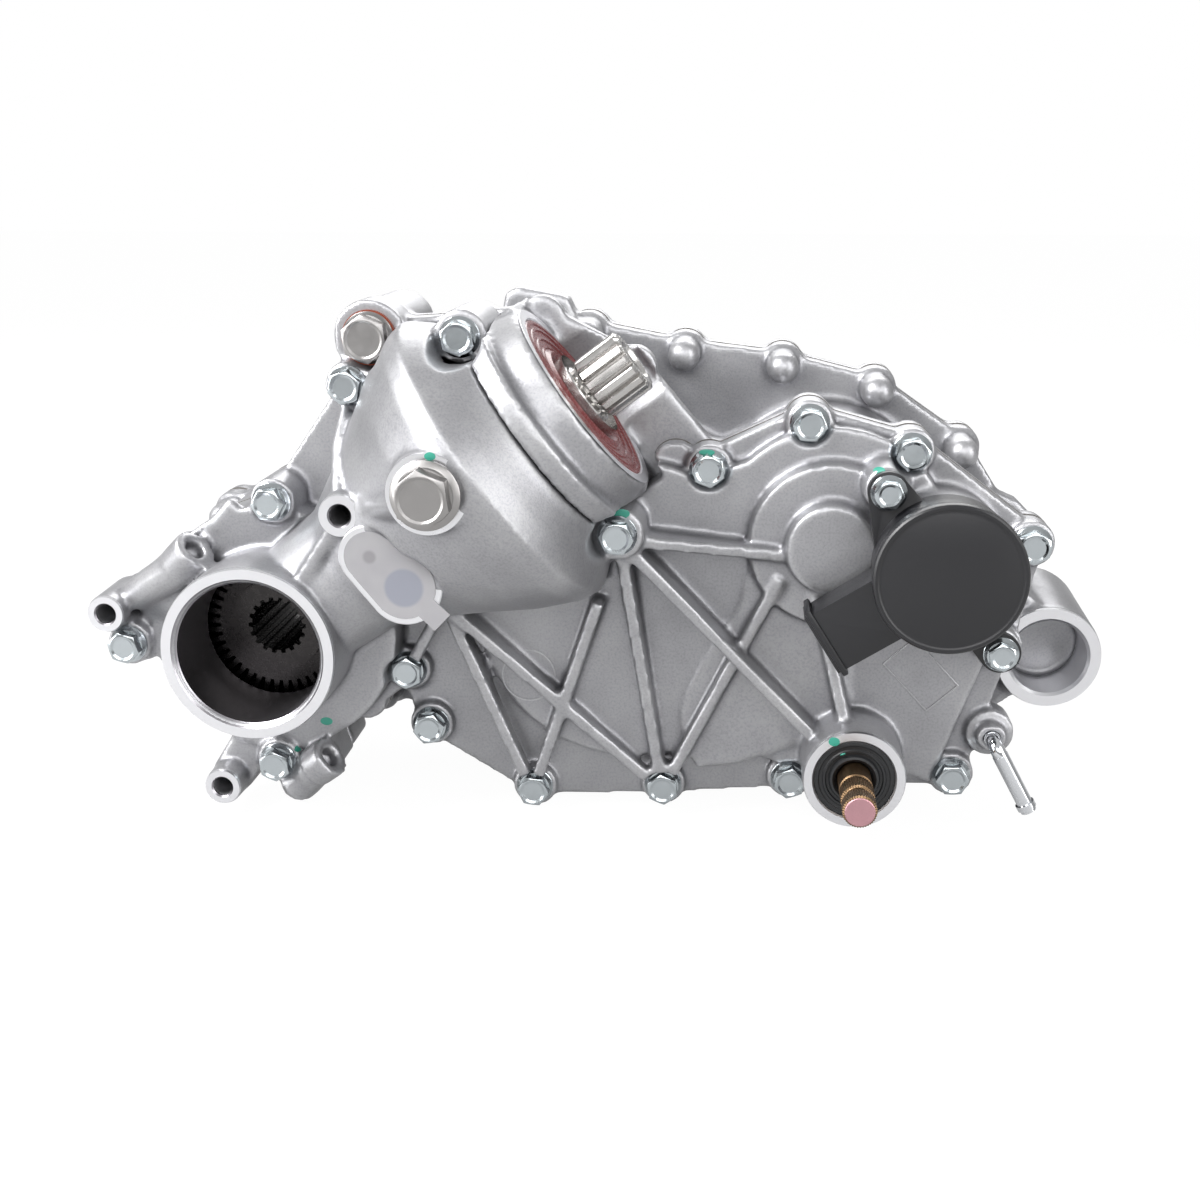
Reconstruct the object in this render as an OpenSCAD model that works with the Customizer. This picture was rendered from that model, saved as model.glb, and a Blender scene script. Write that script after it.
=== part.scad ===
// Low ratio gearbox: three castings, a two-speed gear train, a bevel drive to a splined
// output nose, a crown wheel with its axle hub, and a shift drum with fork and sensor.
// Frame: X to the right, Y away from the ribbed cover, Z up. The origin is on the axle
// axis at the joint face between the front cover and the centre housing.

/* [Shaft layout] */
// Input shaft axis, to the right of the axle axis
input_x = 232; // [228:0.5:236]
// Input shaft axis, above the axle axis
input_z = 41; // [38:0.5:44]
// Tilt of the splined output shaft above the X axis, degrees
out_tilt = 37.2; // [36:0.1:38.5]
// Output shaft axis in front of the joint face (negative is to the front)
out_y = -30; // [-31:0.5:-29]
// Cross shaft's distance from the axle axis, along the output shaft
cross_t = 95; // [94:0.5:96]
// Shift shaft axis, X
shift_x = 244; // [242:0.5:246]
// Shift shaft axis, Z
shift_z = -51; // [-53:0.5:-49]
// Sensor and selector rotor axis, X
rotor_x = 275; // [273:0.5:277]
// Sensor and selector rotor axis, Z
rotor_z = 38; // [36:0.5:40]

/* [Gears] */
// Module of the spur gears
gear_m = 2; // [1.98:0.01:2.02]
// Teeth of the input shaft's high pinion
z_high_in = 36; // [35:1:37]
// Teeth of the input shaft's low pinion
z_low_in = 27; // [26:1:28]
// Teeth of the intermediate shaft's high gear
z_high = 52; // [51:1:53]
// Teeth of the intermediate shaft's pinion
z_mid = 39; // [38:1:40]
// Teeth of the cross shaft's gear
z_cross = 50; // [49:1:51]
// Module of the bevel gears
bevel_m = 2; // [1.95:0.01:2.05]
// Teeth of the cross shaft's bevel pinion
z_bevel_in = 20; // [19:1:21]
// Teeth of the output shaft's bevel gear
z_bevel = 46; // [45:1:47]
// Teeth of the output shaft's rear pinion
z_crown_in = 16; // [15:1:17]
// Teeth of the crown wheel
z_crown = 42; // [41:1:43]
// Face width of a spur gear
gear_face = 12; // [10:0.5:13]

/* [Castings] */
// Wall thickness of the castings
wall = 5; // [4.5:0.1:5.5]
// Depth of the centre housing between its two joint faces
mid_depth = 64; // [63.8:0.1:65]
// Front surface of the ribbed wall, in front of the joint face
face_y = -18; // [-19:0.25:-17.5]
// Thickness of the joint flanges
flange_t = 10; // [8:0.5:12]
// Height of the cover's ribs where they end at a bolt
rib_h = 5; // [4:0.5:7]
// Thickness of the ribs
rib_w = 5; // [4:0.5:6]
// Outer radius of the large axle tube
tube_r = 36; // [35:0.5:38]
// Bore radius of the large axle tube
tube_bore_r = 29.5; // [28.5:0.25:31]
// Front rim of the large axle tube
tube_y = -62; // [-66:0.5:-58]
// Outer radius of the small mounting tube
side_tube_r = 22; // [20:0.5:23]
// Bore radius of the small mounting tube
side_bore_r = 16.5; // [14:0.5:17]

/* [Fasteners] */
// Thread radius of the casting bolts
bolt_r = 4; // [3:0.25:4.25]
// Width across flats of the casting bolts' heads
bolt_af = 12; // [11:0.5:13]
// Flange radius of the casting bolts
bolt_flange_r = 8; // [7.25:0.25:8.75]
// Head height of the casting bolts, flange included
bolt_head_h = 8; // [7:0.5:9]

/* [Shafts] */
// Tip radius of the output spline
spline_r = 13.2; // [12.8:0.1:14]
// Length of the output spline
spline_len = 21.5; // [18:0.5:24]
// Teeth of the output spline
spline_teeth = 16; // [14:1:18]
// Radius of the shift shaft
shift_r = 6.85; // [6.5:0.05:7]
// Front tip of the shift shaft
shift_tip_y = -78; // [-82:0.5:-74]
// Swing of the shift shaft each way, degrees
shift_swing = 20; // [16:1:22]
// Travel of the fork each way
fork_travel = 3; // [2.5:0.1:3]

/* [Hidden] */

// Clearances
run_gap = 0.05;
free_gap = 0.3;
gasket_t = 0.5;

// Radii of the gears
high_in_r = gear_m*z_high_in/2;
high_r = gear_m*z_high/2;
pair_dist = high_in_r + high_r;
z_low = z_high_in + z_high - z_low_in;
low_r = gear_m*z_low/2;
mid_r = gear_m*z_mid/2;
cross_r = gear_m*z_cross/2;
drive_dist = mid_r + cross_r;
bevel_in_r = bevel_m*z_bevel_in/2;
bevel_r = bevel_m*z_bevel/2;
crown_in_r = bevel_m*z_crown_in/2;
crown_r = bevel_m*z_crown/2;
crown_room_r = crown_r + 5.75;

// Shaft axes in the X-Z plane
axle = [0, 0];
input = [input_x, input_z];
cross = [cross_t*cos(out_tilt), cross_t*sin(out_tilt)];
axis_gap = norm(input - cross);
foot_a = (axis_gap*axis_gap + pair_dist*pair_dist - drive_dist*drive_dist)/(2*axis_gap);
foot_h = sqrt(pair_dist*pair_dist - foot_a*foot_a);
to_cross = (cross - input)/axis_gap;
mid = input + foot_a*to_cross - foot_h*[to_cross[1], -to_cross[0]];
shift = [shift_x, shift_z];
rotor = [rotor_x, rotor_z];
rail = shift + [-38, 15];
rail_dist = norm(rail - shift);
rail_to_mid = atan2(mid[1] - rail[1], mid[0] - rail[0]);
rail_to_shift = atan2(shift[1] - rail[1], shift[0] - rail[0]);
fork_reach = 36*[cos(rail_to_mid + 180), sin(rail_to_mid + 180)];
input_to_mid = atan2(mid[1] - input[1], mid[0] - input[0]);
mid_to_cross = atan2(cross[1] - mid[1], cross[0] - mid[0]);
shift_to_rotor = atan2(rotor[1] - shift[1], rotor[0] - shift[0]);
sector_dist = norm(rotor - shift);
z_shift_sector = 40;
z_rotor_sector = 54;

// Depths along Y
sector_y = -11;
sector_t = 6;
high_y = 22;
clutch_y = 43;
low_y = 50;
mid_pinion_y = 67;
bearing_y = 88;
bearing_w = 12;
back_y = 106;
web_y = 24;
nose_bearing_y = -20.5;
nose_bearing_w = 11;
mid_bearing_y = -10.5;
hub_bearing_y = 8;
hub_back_bearing_y = mid_depth + 2;
crown_room_y = -22;
hub_y = crown_room_y + 1;
shift_boss_y = -46;
shift_step_y = -38;

// Radii of shafts and bearings
input_r = 12;
input_nose_r = 9;
drive_nose_r = 11;
mid_shaft_r = 12.5;
mid_nose_r = 10;
cross_shaft_r = 12;
out_r = 11;
out_front_r = 16;
hub_r = 20;
hub_teeth = 18;
hub_spline_r = 12.5;
bearing_r = 26;
nose_bearing_r = 17;
mid_bearing_r = 21;
hub_bearing_r = 34;
out_rear_bearing_r = 20;
out_front_bearing_r = 35;
shift_in_r = shift_r + 0.65;
rotor_r = 5;
rail_r = 6;
drum_r = 15;
drum_y = 21;
pin_r = 3;
groove_rise = fork_travel/shift_swing;
detent_y = 31;
detent_top = shift[1] - drum_r - 0.15;
detent_r = 5;
clutch_hub_r = 19;
key_w = 5;
key_tip_r = 21;
sleeve_r = 31;
sleeve_groove_r = 27;
sleeve_groove_w = 3;
dog_at = 25;
dog_r = 3.2;
dog_h = 3;
bevel_y = out_y + bevel_r;
bevel_face = 14;
seal_shift_r = 16.5;

// Positions along the output shaft
crown_t = crown_r;
out_rear_t = 52;
bevel_t = cross_t + bevel_in_r;
groove_t = 145;
out_front_t = 148;
seal_t = 161;
nose_t = 167;
collar_t = 170;
tip_t = collar_t + spline_len;
neck_r = 45;
seal_r = 37;
collar_r = 18;

// Bolts of the front cover: places, and where each head seats
left_seat_y = -30;
seat_y = -14;
neck_seat_y = -42;
left_bolts = [[-62, -7], [4, 56], [38, 104], [0, -58]];
edge_bolts = [[182, 70], [222, 89], [263, 78], [313, 41], [303.4, -2.8],
    [287, -60], [219, -64], [165, -69], [109, -72], [64, -45], [55, -20]];
neck_high = [86, 125];
neck_low = [147, 48];
level_plug_p = [45, 122];
vent_p = [302, -41];
vent_drop = [16, -29];
vent_bend = 6;
vent_y = -20;
vent_r = 3.3;
boss_r = 9.5;
front_outline = concat([left_bolts[0], left_bolts[1], left_bolts[2], level_plug_p, neck_high,
    neck_low, [168, 70]], edge_bolts, [[34, -36], left_bolts[3]]);
middle_outline = concat([left_bolts[0], left_bolts[1], left_bolts[2], level_plug_p, neck_high,
    [112, 128], [150, 108]], edge_bolts, [[34, -36], left_bolts[3]]);
rear_bolts_p = [[-42, 32], [8, 62], [46, 116], [126, 117], [169, 109], [212, 104], [253, 94],
    [291, 68], [316, 30], [312, -30], [288, -62], [226, -68], [160, -71], [96, -70],
    [30, -52], [-42, -34]];
foot_p = [[130, -50], [252, -56]];
floor_z = -82;
sensor_ear_low = rotor + [24, -35];
sensor_ear_high = rotor + [-23, 29];
side_p = [326.5, -11.5];
port_small = [54, 44];
port_large = [67, 32];
pad_dir = (port_large - port_small)/norm(port_large - port_small);
pad_n = [-pad_dir[1], pad_dir[0]];
pad_sides = [port_small + pad_n*10.2, port_large + pad_n*12.6, port_large - pad_n*12.6,
    port_small - pad_n*10.2];
dowels = [[-50, 24], [296, -14]];
dowel_r = 3;
fill_p = [82, 74];
fill_y = -94;
fill_thread_r = 9;
fill_flange_r = 13;
level_y = -20;
level_thread_r = 7;
level_flange_r = 10.5;
washer_t = 1.5;
film_y = -70;
film_t = 0.6;

// Threaded bosses and through eyes of the left mounting bracket
thread_r = 4.3;
boss_top = [42.3, 59.3];
boss_top_y = -68;
boss_left = [-68, 8];
boss_low = [-23, -68];
boss_left_y = -38;
eye_y = -26;
eye_r = 8;
eye_high = [[-47, 20], [-30, 36]];
eye_low = [[4, -72], [17, -60]];
pocket_r = bolt_flange_r + 0.5;
neck_boss_r = boss_r + 1;
sensor_y = -37;
sensor_seat_y = sensor_y - 4;
sensor_bolt_r = 3;
tab_hole = [-12, 43];

// Moves 2D shapes drawn in X-Z to the slab between two depths
module slab(y0, y1) {
    translate([0, y1, 0])
        rotate([90, 0, 0])
            linear_extrude(y1 - y0)
                children();
}

// Round bar or cone along Y
module rod(p, y0, y1, r, r_back = -1, sides = 96) {
    translate([p[0], y0, p[1]])
        rotate([-90, 0, 0])
            cylinder(h = y1 - y0, r1 = r, r2 = r_back < 0 ? r : r_back, $fn = sides);
}

// Ring along Y
module ring(p, y0, y1, r_in, r_out) {
    difference() {
        rod(p, y0, y1, r_out);
        rod(p, y0 - 1, y1 + 1, r_in);
    }
}

// Places a child at a distance along the output shaft, its own Z along the shaft
module on_output(t) {
    translate([0, out_y, 0])
        rotate([0, 90 - out_tilt, 0])
            translate([0, 0, t])
                children();
}

// Bar of even width between two points, in X-Z
module strap_2d(a, b, w) {
    n = [a[1] - b[1], b[0] - a[0]]/norm(b - a);
    polygon([a + n*w, b + n*w, b - n*w, a - n*w]);
}

// Joint flange outline: the polygon through the bolts, a strip along it and round lobes
module flange_2d(points, half_w, lobe_r) {
    polygon(points);
    for (i = [0:len(points) - 1]) {
        strap_2d(points[i], points[(i + 1)%len(points)], half_w);
        translate(points[i])
            circle(r = lobe_r, $fn = 48);
    }
}

// Room round the gears and the shift mechanism, grown by the wall for the outside
module gear_room_2d(grow) {
    translate(mid)
        circle(r = high_r + 7 + grow, $fn = 96);
    translate(input)
        circle(r = high_in_r + 6 + grow, $fn = 96);
    translate(rotor)
        circle(r = 17 + grow, $fn = 64);
    translate(shift)
        circle(r = 20 + grow, $fn = 64);
    translate(rail)
        circle(r = 11 + grow, $fn = 64);
    strap_2d(shift, rotor, 31 + grow);
    strap_2d(mid, input, 38 + grow);
    strap_2d(rail, shift, 11 + grow);
    strap_2d(rail, mid, 14 + grow);
    polygon([mid, input, rotor, shift, rail]);
}

// Gear room between two depths, less the strip under the neck, which stays solid
module front_room(y0, y1) {
    difference() {
        slab(y0, y1)
            gear_room_2d(0);
        slab(y0 - 1, y1 + 1)
            rotate(out_tilt)
                translate([groove_t - 6, -64])
                    square([38, 200]);
    }
}

// Room round the large low gear, the cross gear and the fork, behind the first web
module low_room_2d(grow) {
    translate(mid)
        circle(r = low_r + 4 + grow, $fn = 96);
    translate(input)
        circle(r = high_in_r + 6 + grow, $fn = 96);
    translate(cross)
        circle(r = cross_r + 4 + grow, $fn = 96);
    translate(rail)
        circle(r = 11 + grow, $fn = 64);
    translate(shift)
        circle(r = 18 + grow, $fn = 64);
    strap_2d(rail, shift, 11 + grow);
    polygon([mid, input, shift, rail]);
    strap_2d(mid, cross, 30 + grow);
}

// Room behind the axle tube for the crown wheel
module crown_room_2d(grow) {
    circle(r = crown_room_r + grow, $fn = 96);
}

// Outer form of the bevel housing as a profile of radius along the output shaft
module bulge_solid() {
    on_output(0)
        rotate_extrude($fn = 128)
            polygon([[0, 22], [27, 22], [29, 50], [38, 68], [48, 86], [58, 103], [65, 119], [66, 127],
                [60, 134], [52, groove_t - 3], [50, groove_t], [0, groove_t]]);
}

// Space inside the bevel housing
module bulge_room() {
    on_output(0)
        rotate_extrude($fn = 128)
            polygon([[0, 20], [19, 20], [19, 51], [14, 51], [14, 65], [31, 67], [42, 84], [52, 101],
                [58, 115], [59, 126], [44, 136], [36, groove_t + 1], [0, groove_t + 1]]);
}

// Rib between two points of the cover, its top running from one depth to the other
module rib(a, b, top_a, top_b, foot_y = face_y + 2) {
    len_ab = norm(b - a);
    translate([a[0], 0, a[1]])
        rotate([0, -atan2(b[1] - a[1], b[0] - a[0]), 0])
            translate([0, 0, -rib_w/2])
                linear_extrude(rib_w)
                    polygon([[0, top_a], [len_ab, top_b], [len_ab, foot_y], [0, foot_y]]);
}

// Flange bolt along Y, head to the front, with its seat at y
module flange_bolt(p, y, length, r = bolt_r, af = bolt_af, flange_r = bolt_flange_r, head_h = bolt_head_h) {
    rod(p, y - 1.5, y, flange_r - 0.4, flange_r);
    rod(p, y - 3, y - 1.5, af/2 + 0.6, flange_r - 0.4);
    rod(p, y - head_h + 0.8, y - 1.5, af/sqrt(3), af/sqrt(3), 6);
    rod(p, y - head_h, y - head_h + 0.8, af/2 - 0.6, af/2);
    rod(p, y, y + length, r);
}

// Spur gear outline: six points a tooth
function tooth(k, z, r_root, r_pitch, r_tip, slim) = let(step = 360/z, a = k*step) [
    for (q = [[r_root, -0.37], [r_pitch, -0.235], [r_tip, -0.12],
            [r_tip, 0.12], [r_pitch, 0.235], [r_root, 0.37]])
        q[0]*[cos(a + slim*q[1]*step), sin(a + slim*q[1]*step)]];

function gear_points(z, m, cone = 0, slim = 1) = let(r = m*z/2) [
    for (k = [0:z - 1])
        each tooth(k, z, r - 1.25*m/cos(cone), r, r + 0.92*m/cos(cone), slim)];

// Spur gear with a bore, turned so that a tooth points at the angle
module spur(p, z, y0, face, bore, at) {
    difference() {
        translate([p[0], 0, p[1]])
            rotate([0, -at, 0])
                slab(y0, y0 + face)
                    polygon(gear_points(z, gear_m));
        rod(p, y0 - 1, y0 + face + 1, bore);
    }
}

// Bevel teeth along local Z: the large end at 0, the small end below
module bevel_teeth(z, z_mate, at, face) {
    r = bevel_m*z/2;
    cone = atan(z/z_mate);
    cone_dist = r/sin(cone);
    rotate([0, 0, at])
        mirror([0, 0, 1])
            linear_extrude(face*cos(cone), scale = 1 - face/cone_dist)
                polygon(gear_points(z, bevel_m, cone, 0.85));
}

// Castings

// Bosses and cored bores that the front cover and the centre housing share
module left_lugs(y0, y1) {
    slab(y0, y1) {
        strap_2d([-40, 8], [-62, -7], 11);
        strap_2d([-30, 20], [-68, 8], 8);
        strap_2d([0, -30], [0, -58], 14);
        strap_2d([-8, -44], [-23, -68], 9);
        strap_2d([6, -40], [14, -66], 12);
        strap_2d([0, 40], [4, 56], 10);
    }
}

module front_cover_outer() {
    slab(-flange_t, 0)
        flange_2d(front_outline, 6, boss_r);
    slab(face_y, 0)
        gear_room_2d(wall);
    for (p = edge_bolts)
        rod(p, seat_y, 0, boss_r);
    for (p = left_bolts)
        rod(p, left_seat_y, 0, boss_r);
    slab(crown_room_y - wall, 0)
        crown_room_2d(wall);
    left_lugs(left_seat_y + 4, 0);
    rod(axle, tube_y, -4, tube_r);
    eye(eye_high);
    eye(eye_low);
    intersection() {
        bulge_solid();
        slab(-120, 0)
            translate([-60, -100])
                square([500, 260]);
    }
    rod(level_plug_p, level_y, 0, 15);
    rod(fill_p, fill_y, out_y, 15.5, 19);
    rod(boss_top, boss_top_y, -12, 8.6, 9.6);
    rod(boss_left, boss_left_y, -8, 8, 9);
    rod(boss_low, boss_left_y, -6, 8, 9);
    film_pad(film_y, out_y, 0);
    rod(input, face_y - 7, 0, 33, 36);
    rod(input, face_y - 15, 0, 18, 22);
    rod(rotor, sensor_y, 0, 24, 27);
    rod(shift, shift_boss_y, 0, 21);
    rod(sensor_ear_low, sensor_y, 0, 9);
    rod(sensor_ear_high, sensor_y, 0, 9, 11);
    rod(vent_p, vent_y, 0, 6);
    rod(vent_p, seat_y, 0, 10);
    ribs();
    tube_rib();
}

// Rib web of the cover, between the bosses
module ribs() {
    b8 = neck_low + [0, -4];
    b9 = edge_bolts[8];
    b10 = edge_bolts[7];
    dome_left = input + [-19, -4];
    dome_low = input + [-6, -18];
    shift_top = shift + [-4, 20];
    shift_left = shift + [-16, 12];
    tab = [74, 14];
    corner = [138, 16];
    low = face_y - rib_h;
    high = neck_seat_y + 6;
    rib(b8, dome_left, high, low - 5);
    rib(b8, shift_left, high, low - 11);
    rib(b8, b10, high, low);
    rib(dome_low + [-14, 4], b10, low - 4, low);
    rib(dome_low, shift_top, low - 4, low - 11);
    rib(tab + [-2.6, 6.5], b9, low - 8, low);
    rib(tab + [-5.2, 4.7], b10, low - 10, low);
    rib(corner, b9, low - 8, low);
    rib(tab + [3.4, 6.1], edge_bolts[10], low - 6, low);
}

// Strut from the axle tube to the threaded boss above it
module tube_rib() {
    rib([22, 30], boss_top, tube_y + 5, boss_top_y + 4, -20);
}

// Oval machined pad for two ports on the bevel housing's flank
module film_pad(y0, y1, grow) {
    rod(port_small, y0, y1, 10.5 + grow);
    rod(port_large, y0, y1, 13 + grow);
    slab(y0, y1)
        polygon(pad_sides);
}

module front_cover() {
    color("silver") {
        difference() {
            front_cover_outer();
            front_room(face_y + wall, 1);
            slab(crown_room_y, 1)
                crown_room_2d(0);
            bulge_room();
            rod(axle, tube_y - 1, crown_room_y + 2, tube_bore_r);
            rod(axle, tube_y - 1, tube_y + 1.5, tube_bore_r + 2.5, tube_bore_r);
            front_cover_holes();
        }
        difference() {
            union() {
                rod(neck_high, neck_seat_y, 0, neck_boss_r);
                rod(neck_low, neck_seat_y, 0, neck_boss_r);
            }
            rod(neck_high, neck_seat_y - 1, 1, bolt_r);
            rod(neck_low, neck_seat_y - 1, 1, bolt_r);
        }
        difference() {
            union() {
                rod(mid, face_y + wall - 1, 0, 26);
                rod(input, face_y + wall - 1, -7, 23);
                rod(rail, face_y + wall - 1, -3, 10);
                rod(rotor, -30, face_y + wall, 9);
            }
            rod(mid, mid_bearing_y - 0.5, 3, mid_bearing_r);
            rod(mid, face_y + wall - 2, -10, 15);
            rod(input, nose_bearing_y - 0.5, -6, nose_bearing_r);
            rod(rail, sector_y, -2, rail_r);
            rod(rotor, -40, 0, rotor_r + run_gap);
        }
    }
}

// Bolt holes, bearing seats and shaft bores of the front cover
module front_cover_holes() {
    for (p = edge_bolts) {
        rod(p, seat_y - 1, 1, bolt_r);
        rod(p, seat_y - 30, seat_y, pocket_r);
    }
    for (p = left_bolts) {
        rod(p, left_seat_y - 1, 1, bolt_r);
        rod(p, left_seat_y - 30, left_seat_y, pocket_r);
    }
    rod(side_p, seat_y - 30, 1, side_bore_r + free_gap);
    for (p = [neck_high, neck_low])
        rod(p, neck_seat_y - 40, 1, neck_boss_r - 0.5);
    for (p = dowels)
        rod(p, -7, 1, dowel_r);
    rod(fill_p, fill_y - 10, fill_y, fill_flange_r + 1);
    rod(level_plug_p, level_y - 30, level_y, level_flange_r + 1);
    film_pad(film_y - 30, film_y, 1);
    rod(boss_top, boss_top_y - 1, boss_top_y + 17, thread_r);
    rod(boss_left, boss_left_y - 1, boss_left_y + 18, thread_r);
    rod(boss_low, boss_left_y - 1, boss_left_y + 18, thread_r);
    for (e = [eye_high, eye_low])
        eye_bore(e);
    rod(port_small, film_y - 1, film_y + 8, 2.5);
    rod(port_large, film_y - 1, film_y + 12, 7.5);
    rod(sensor_ear_low, sensor_y - 1, sensor_y + 13, sensor_bolt_r);
    rod(sensor_ear_high, sensor_y - 1, sensor_y + 13, sensor_bolt_r);
    rod(input, nose_bearing_y - 0.5, 0, nose_bearing_r);
    rod(rotor, -38, face_y + wall + 1, 8);
    rod(shift, shift_boss_y - 1, shift_step_y, seal_shift_r);
    rod(shift, shift_step_y - 1, 1, shift_in_r + run_gap);
    rod(shift, -15, 1, 12);
    rod(vent_p, vent_y - 1, -10, vent_r);
    rod(level_plug_p, level_y - 1, level_y + 14, level_thread_r);
    rod(fill_p, fill_y - 1, fill_y + 30, fill_thread_r);
    on_output(out_rear_t - 1)
        cylinder(h = bearing_w + 2, r = out_rear_bearing_r, $fn = 96);
    neck_space();
}

module center_outer() {
    slab(gasket_t, flange_t)
        flange_2d(middle_outline, 6, boss_r);
    slab(gasket_t, mid_depth) {
        gear_room_2d(wall);
        crown_room_2d(wall);
        low_room_2d(wall);
    }
    slab(mid_depth - flange_t, mid_depth)
        flange_2d(rear_bolts_p, 5, boss_r);
    for (p = rear_bolts_p) {
        rod(p, mid_depth - 24, mid_depth, 7);
        translate([p[0], mid_depth - 24, p[1]])
            sphere(r = 7, $fn = 48);
    }
    left_lugs(gasket_t, 26);
    rod(level_plug_p, gasket_t, 46, 14);
    neck_outer();
    side_tube();
    lifting_lugs();
    translate([shift[0], detent_y, floor_z + 1])
        cylinder(h = 14, r = 8, $fn = 48);
}

// Space that the front cover leaves for the neck of the centre housing
module neck_space() {
    on_output(groove_t) {
        cylinder(h = 10.5, r = neck_r + 6.5, $fn = 96);
        cylinder(h = 26, r = neck_r + 2.5, $fn = 96);
        translate([-neck_r - 0.5, 0, 0])
            cube([2*neck_r + 1, 60, 26]);
    }
}

// Neck round the output shaft, with its two side ears and the web down to the housing
module neck_outer() {
    on_output(groove_t + 0.5)
        cylinder(h = nose_t - groove_t - 0.5, r1 = neck_r + 2, r2 = neck_r - 3, $fn = 128);
    on_output(groove_t + 0.5)
        cylinder(h = 9, r = neck_r + 6, $fn = 128);
    intersection() {
        on_output(groove_t + 0.5)
            translate([-neck_r, 0, 0])
                cube([2*neck_r, 60, nose_t - groove_t - 3]);
        slab(-60, 20)
            translate([60, 20])
                square([130, 130]);
    }
}

// Mounting tube at the right, blind at the back
module side_tube() {
    rod(side_p, gasket_t, mid_depth, side_tube_r, side_tube_r + 2);
    slab(4, mid_depth)
        strap_2d(side_p, [296, 10], 16);
    slab(8, mid_depth)
        strap_2d(side_p, [296, -36], 8);
}

// Mounting eye whose hole runs up to the right, like the output shaft
module eye(ends) {
    run = ends[1] - ends[0];
    bar_towards(ends[0], eye_y, atan2(run[1], run[0]), 0, norm(run), eye_r);
}

module eye_bore(ends) {
    run = ends[1] - ends[0];
    bar_towards(ends[0], eye_y, atan2(run[1], run[0]), -20, norm(run) + 20, thread_r);
}

module lifting_lugs() {
    slab(mid_depth - 14, mid_depth)
        polygon([[86, 112], [89, 134], [95, 137], [117, 133], [121, 124], [118, 108]]);
    slab(mid_depth - 14, mid_depth)
        polygon([[306, 50], [318, 45], [331, 32], [326, 22], [306, 18]]);
    slab(gasket_t, 8)
        strap_2d([-18, 38], [8, 62], 5);
}

module center_housing() {
    color("gainsboro") {
        difference() {
            center_outer();
            front_room(-1, 18.5);
            slab(18, 44)
                gear_room_2d(0);
            rod(cross, gasket_t - 1, web_y + 1, bearing_r + 1);
            slab(44, mid_depth + 1)
                low_room_2d(0);
            slab(40, mid_depth + 1)
                gear_room_2d(-4);
            slab(-1, mid_depth + 1)
                crown_room_2d(0);
            intersection() {
                bulge_room();
                slab(-0.5, web_y)
                    translate([-60, -100])
                        square([500, 260]);
            }
            rod(cross, web_y, 40, bearing_r);
            rod(cross, 38, mid_depth + 1, cross_r + 4);
            center_holes();
        }
        ring(axle, hub_bearing_y - 1, hub_bearing_y + bearing_w, hub_bearing_r, crown_room_r + 1);
    }
}

module center_holes() {
    for (p = concat(edge_bolts, left_bolts, [neck_high, neck_low]))
        rod(p, -1, 14, bolt_r);
    for (p = [neck_high, neck_low])
        rod(p, neck_seat_y - 60, gasket_t, neck_boss_r + 0.5);
    for (p = dowels)
        rod(p, -1, 8, dowel_r);
    for (p = rear_bolts_p)
        rod(p, mid_depth - 20, mid_depth + 1, bolt_r);
    on_output(groove_t - 3)
        cylinder(h = 6, r = 33, $fn = 96);
    on_output(out_front_t)
        cylinder(h = bearing_w + 1, r = out_front_bearing_r, $fn = 96);
    on_output(groove_t)
        cylinder(h = 30, r = 30, $fn = 96);
    on_output(seal_t)
        cylinder(h = 30, r = seal_r, $fn = 96);
    rod(side_p, -1, 26, side_bore_r);
    rod(side_p, -1, 1.5, side_bore_r + 2.5, side_bore_r);
    rod(tab_hole, -1, 9, 2.5);
    translate([shift[0], detent_y, floor_z - 1])
        cylinder(h = 18, r = detent_r, $fn = 48);
}

module rear_cover() {
    color("silver") {
        difference() {
            union() {
                slab(mid_depth + gasket_t, mid_depth + flange_t)
                    flange_2d(rear_bolts_p, 5, boss_r);
                slab(mid_depth + gasket_t, back_y - 12) {
                    low_room_2d(wall);
                    gear_room_2d(wall - 4);
                    crown_room_2d(wall - 3);
                }
                for (p = [input, mid, cross])
                    rod(p, back_y - 14, back_y, 33, 31);
                rod(axle, back_y - 14, back_y + 6, tube_r);
                for (p = foot_p)
                    rear_foot(p);
            }
            slab(mid_depth - 1, back_y - 20) {
                low_room_2d(0);
                gear_room_2d(-4);
            }
            slab(mid_depth - 1, mid_depth + 2)
                crown_room_2d(0);
            for (p = [input, mid, cross])
                rod(p, bearing_y, bearing_y + bearing_w, bearing_r);
            for (p = [input, mid, cross])
                rod(p, mid_depth, bearing_y + 1, bearing_r - 2);
            rod(input, bearing_y, back_y + 1, 20);
            rod(axle, hub_back_bearing_y + bearing_w, back_y + 7, tube_bore_r);
            rod(axle, mid_depth - 1, hub_back_bearing_y + bearing_w + 1, hub_bearing_r);
            for (p = rear_bolts_p) {
                rod(p, mid_depth - 1, mid_depth + flange_t + 1, bolt_r);
                rod(p, mid_depth + flange_t, back_y, pocket_r);
            }
            for (p = foot_p)
                rod([p[0], floor_z + 9], 70, 110, thread_r);
        }
        ring(shift, bearing_y - 14, back_y - 19, shift_in_r + run_gap, 12);
        ring(rail, bearing_y - 12, back_y - 19, rail_r, 10);
    }
}

// Foot with a through hole, level with the lowest bosses of the front
module rear_foot(p) {
    slab(80, 104) {
        strap_2d(p, [p[0], floor_z + 9], 9);
        translate([p[0], floor_z + 9])
            circle(r = 9, $fn = 48);
    }
}

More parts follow.
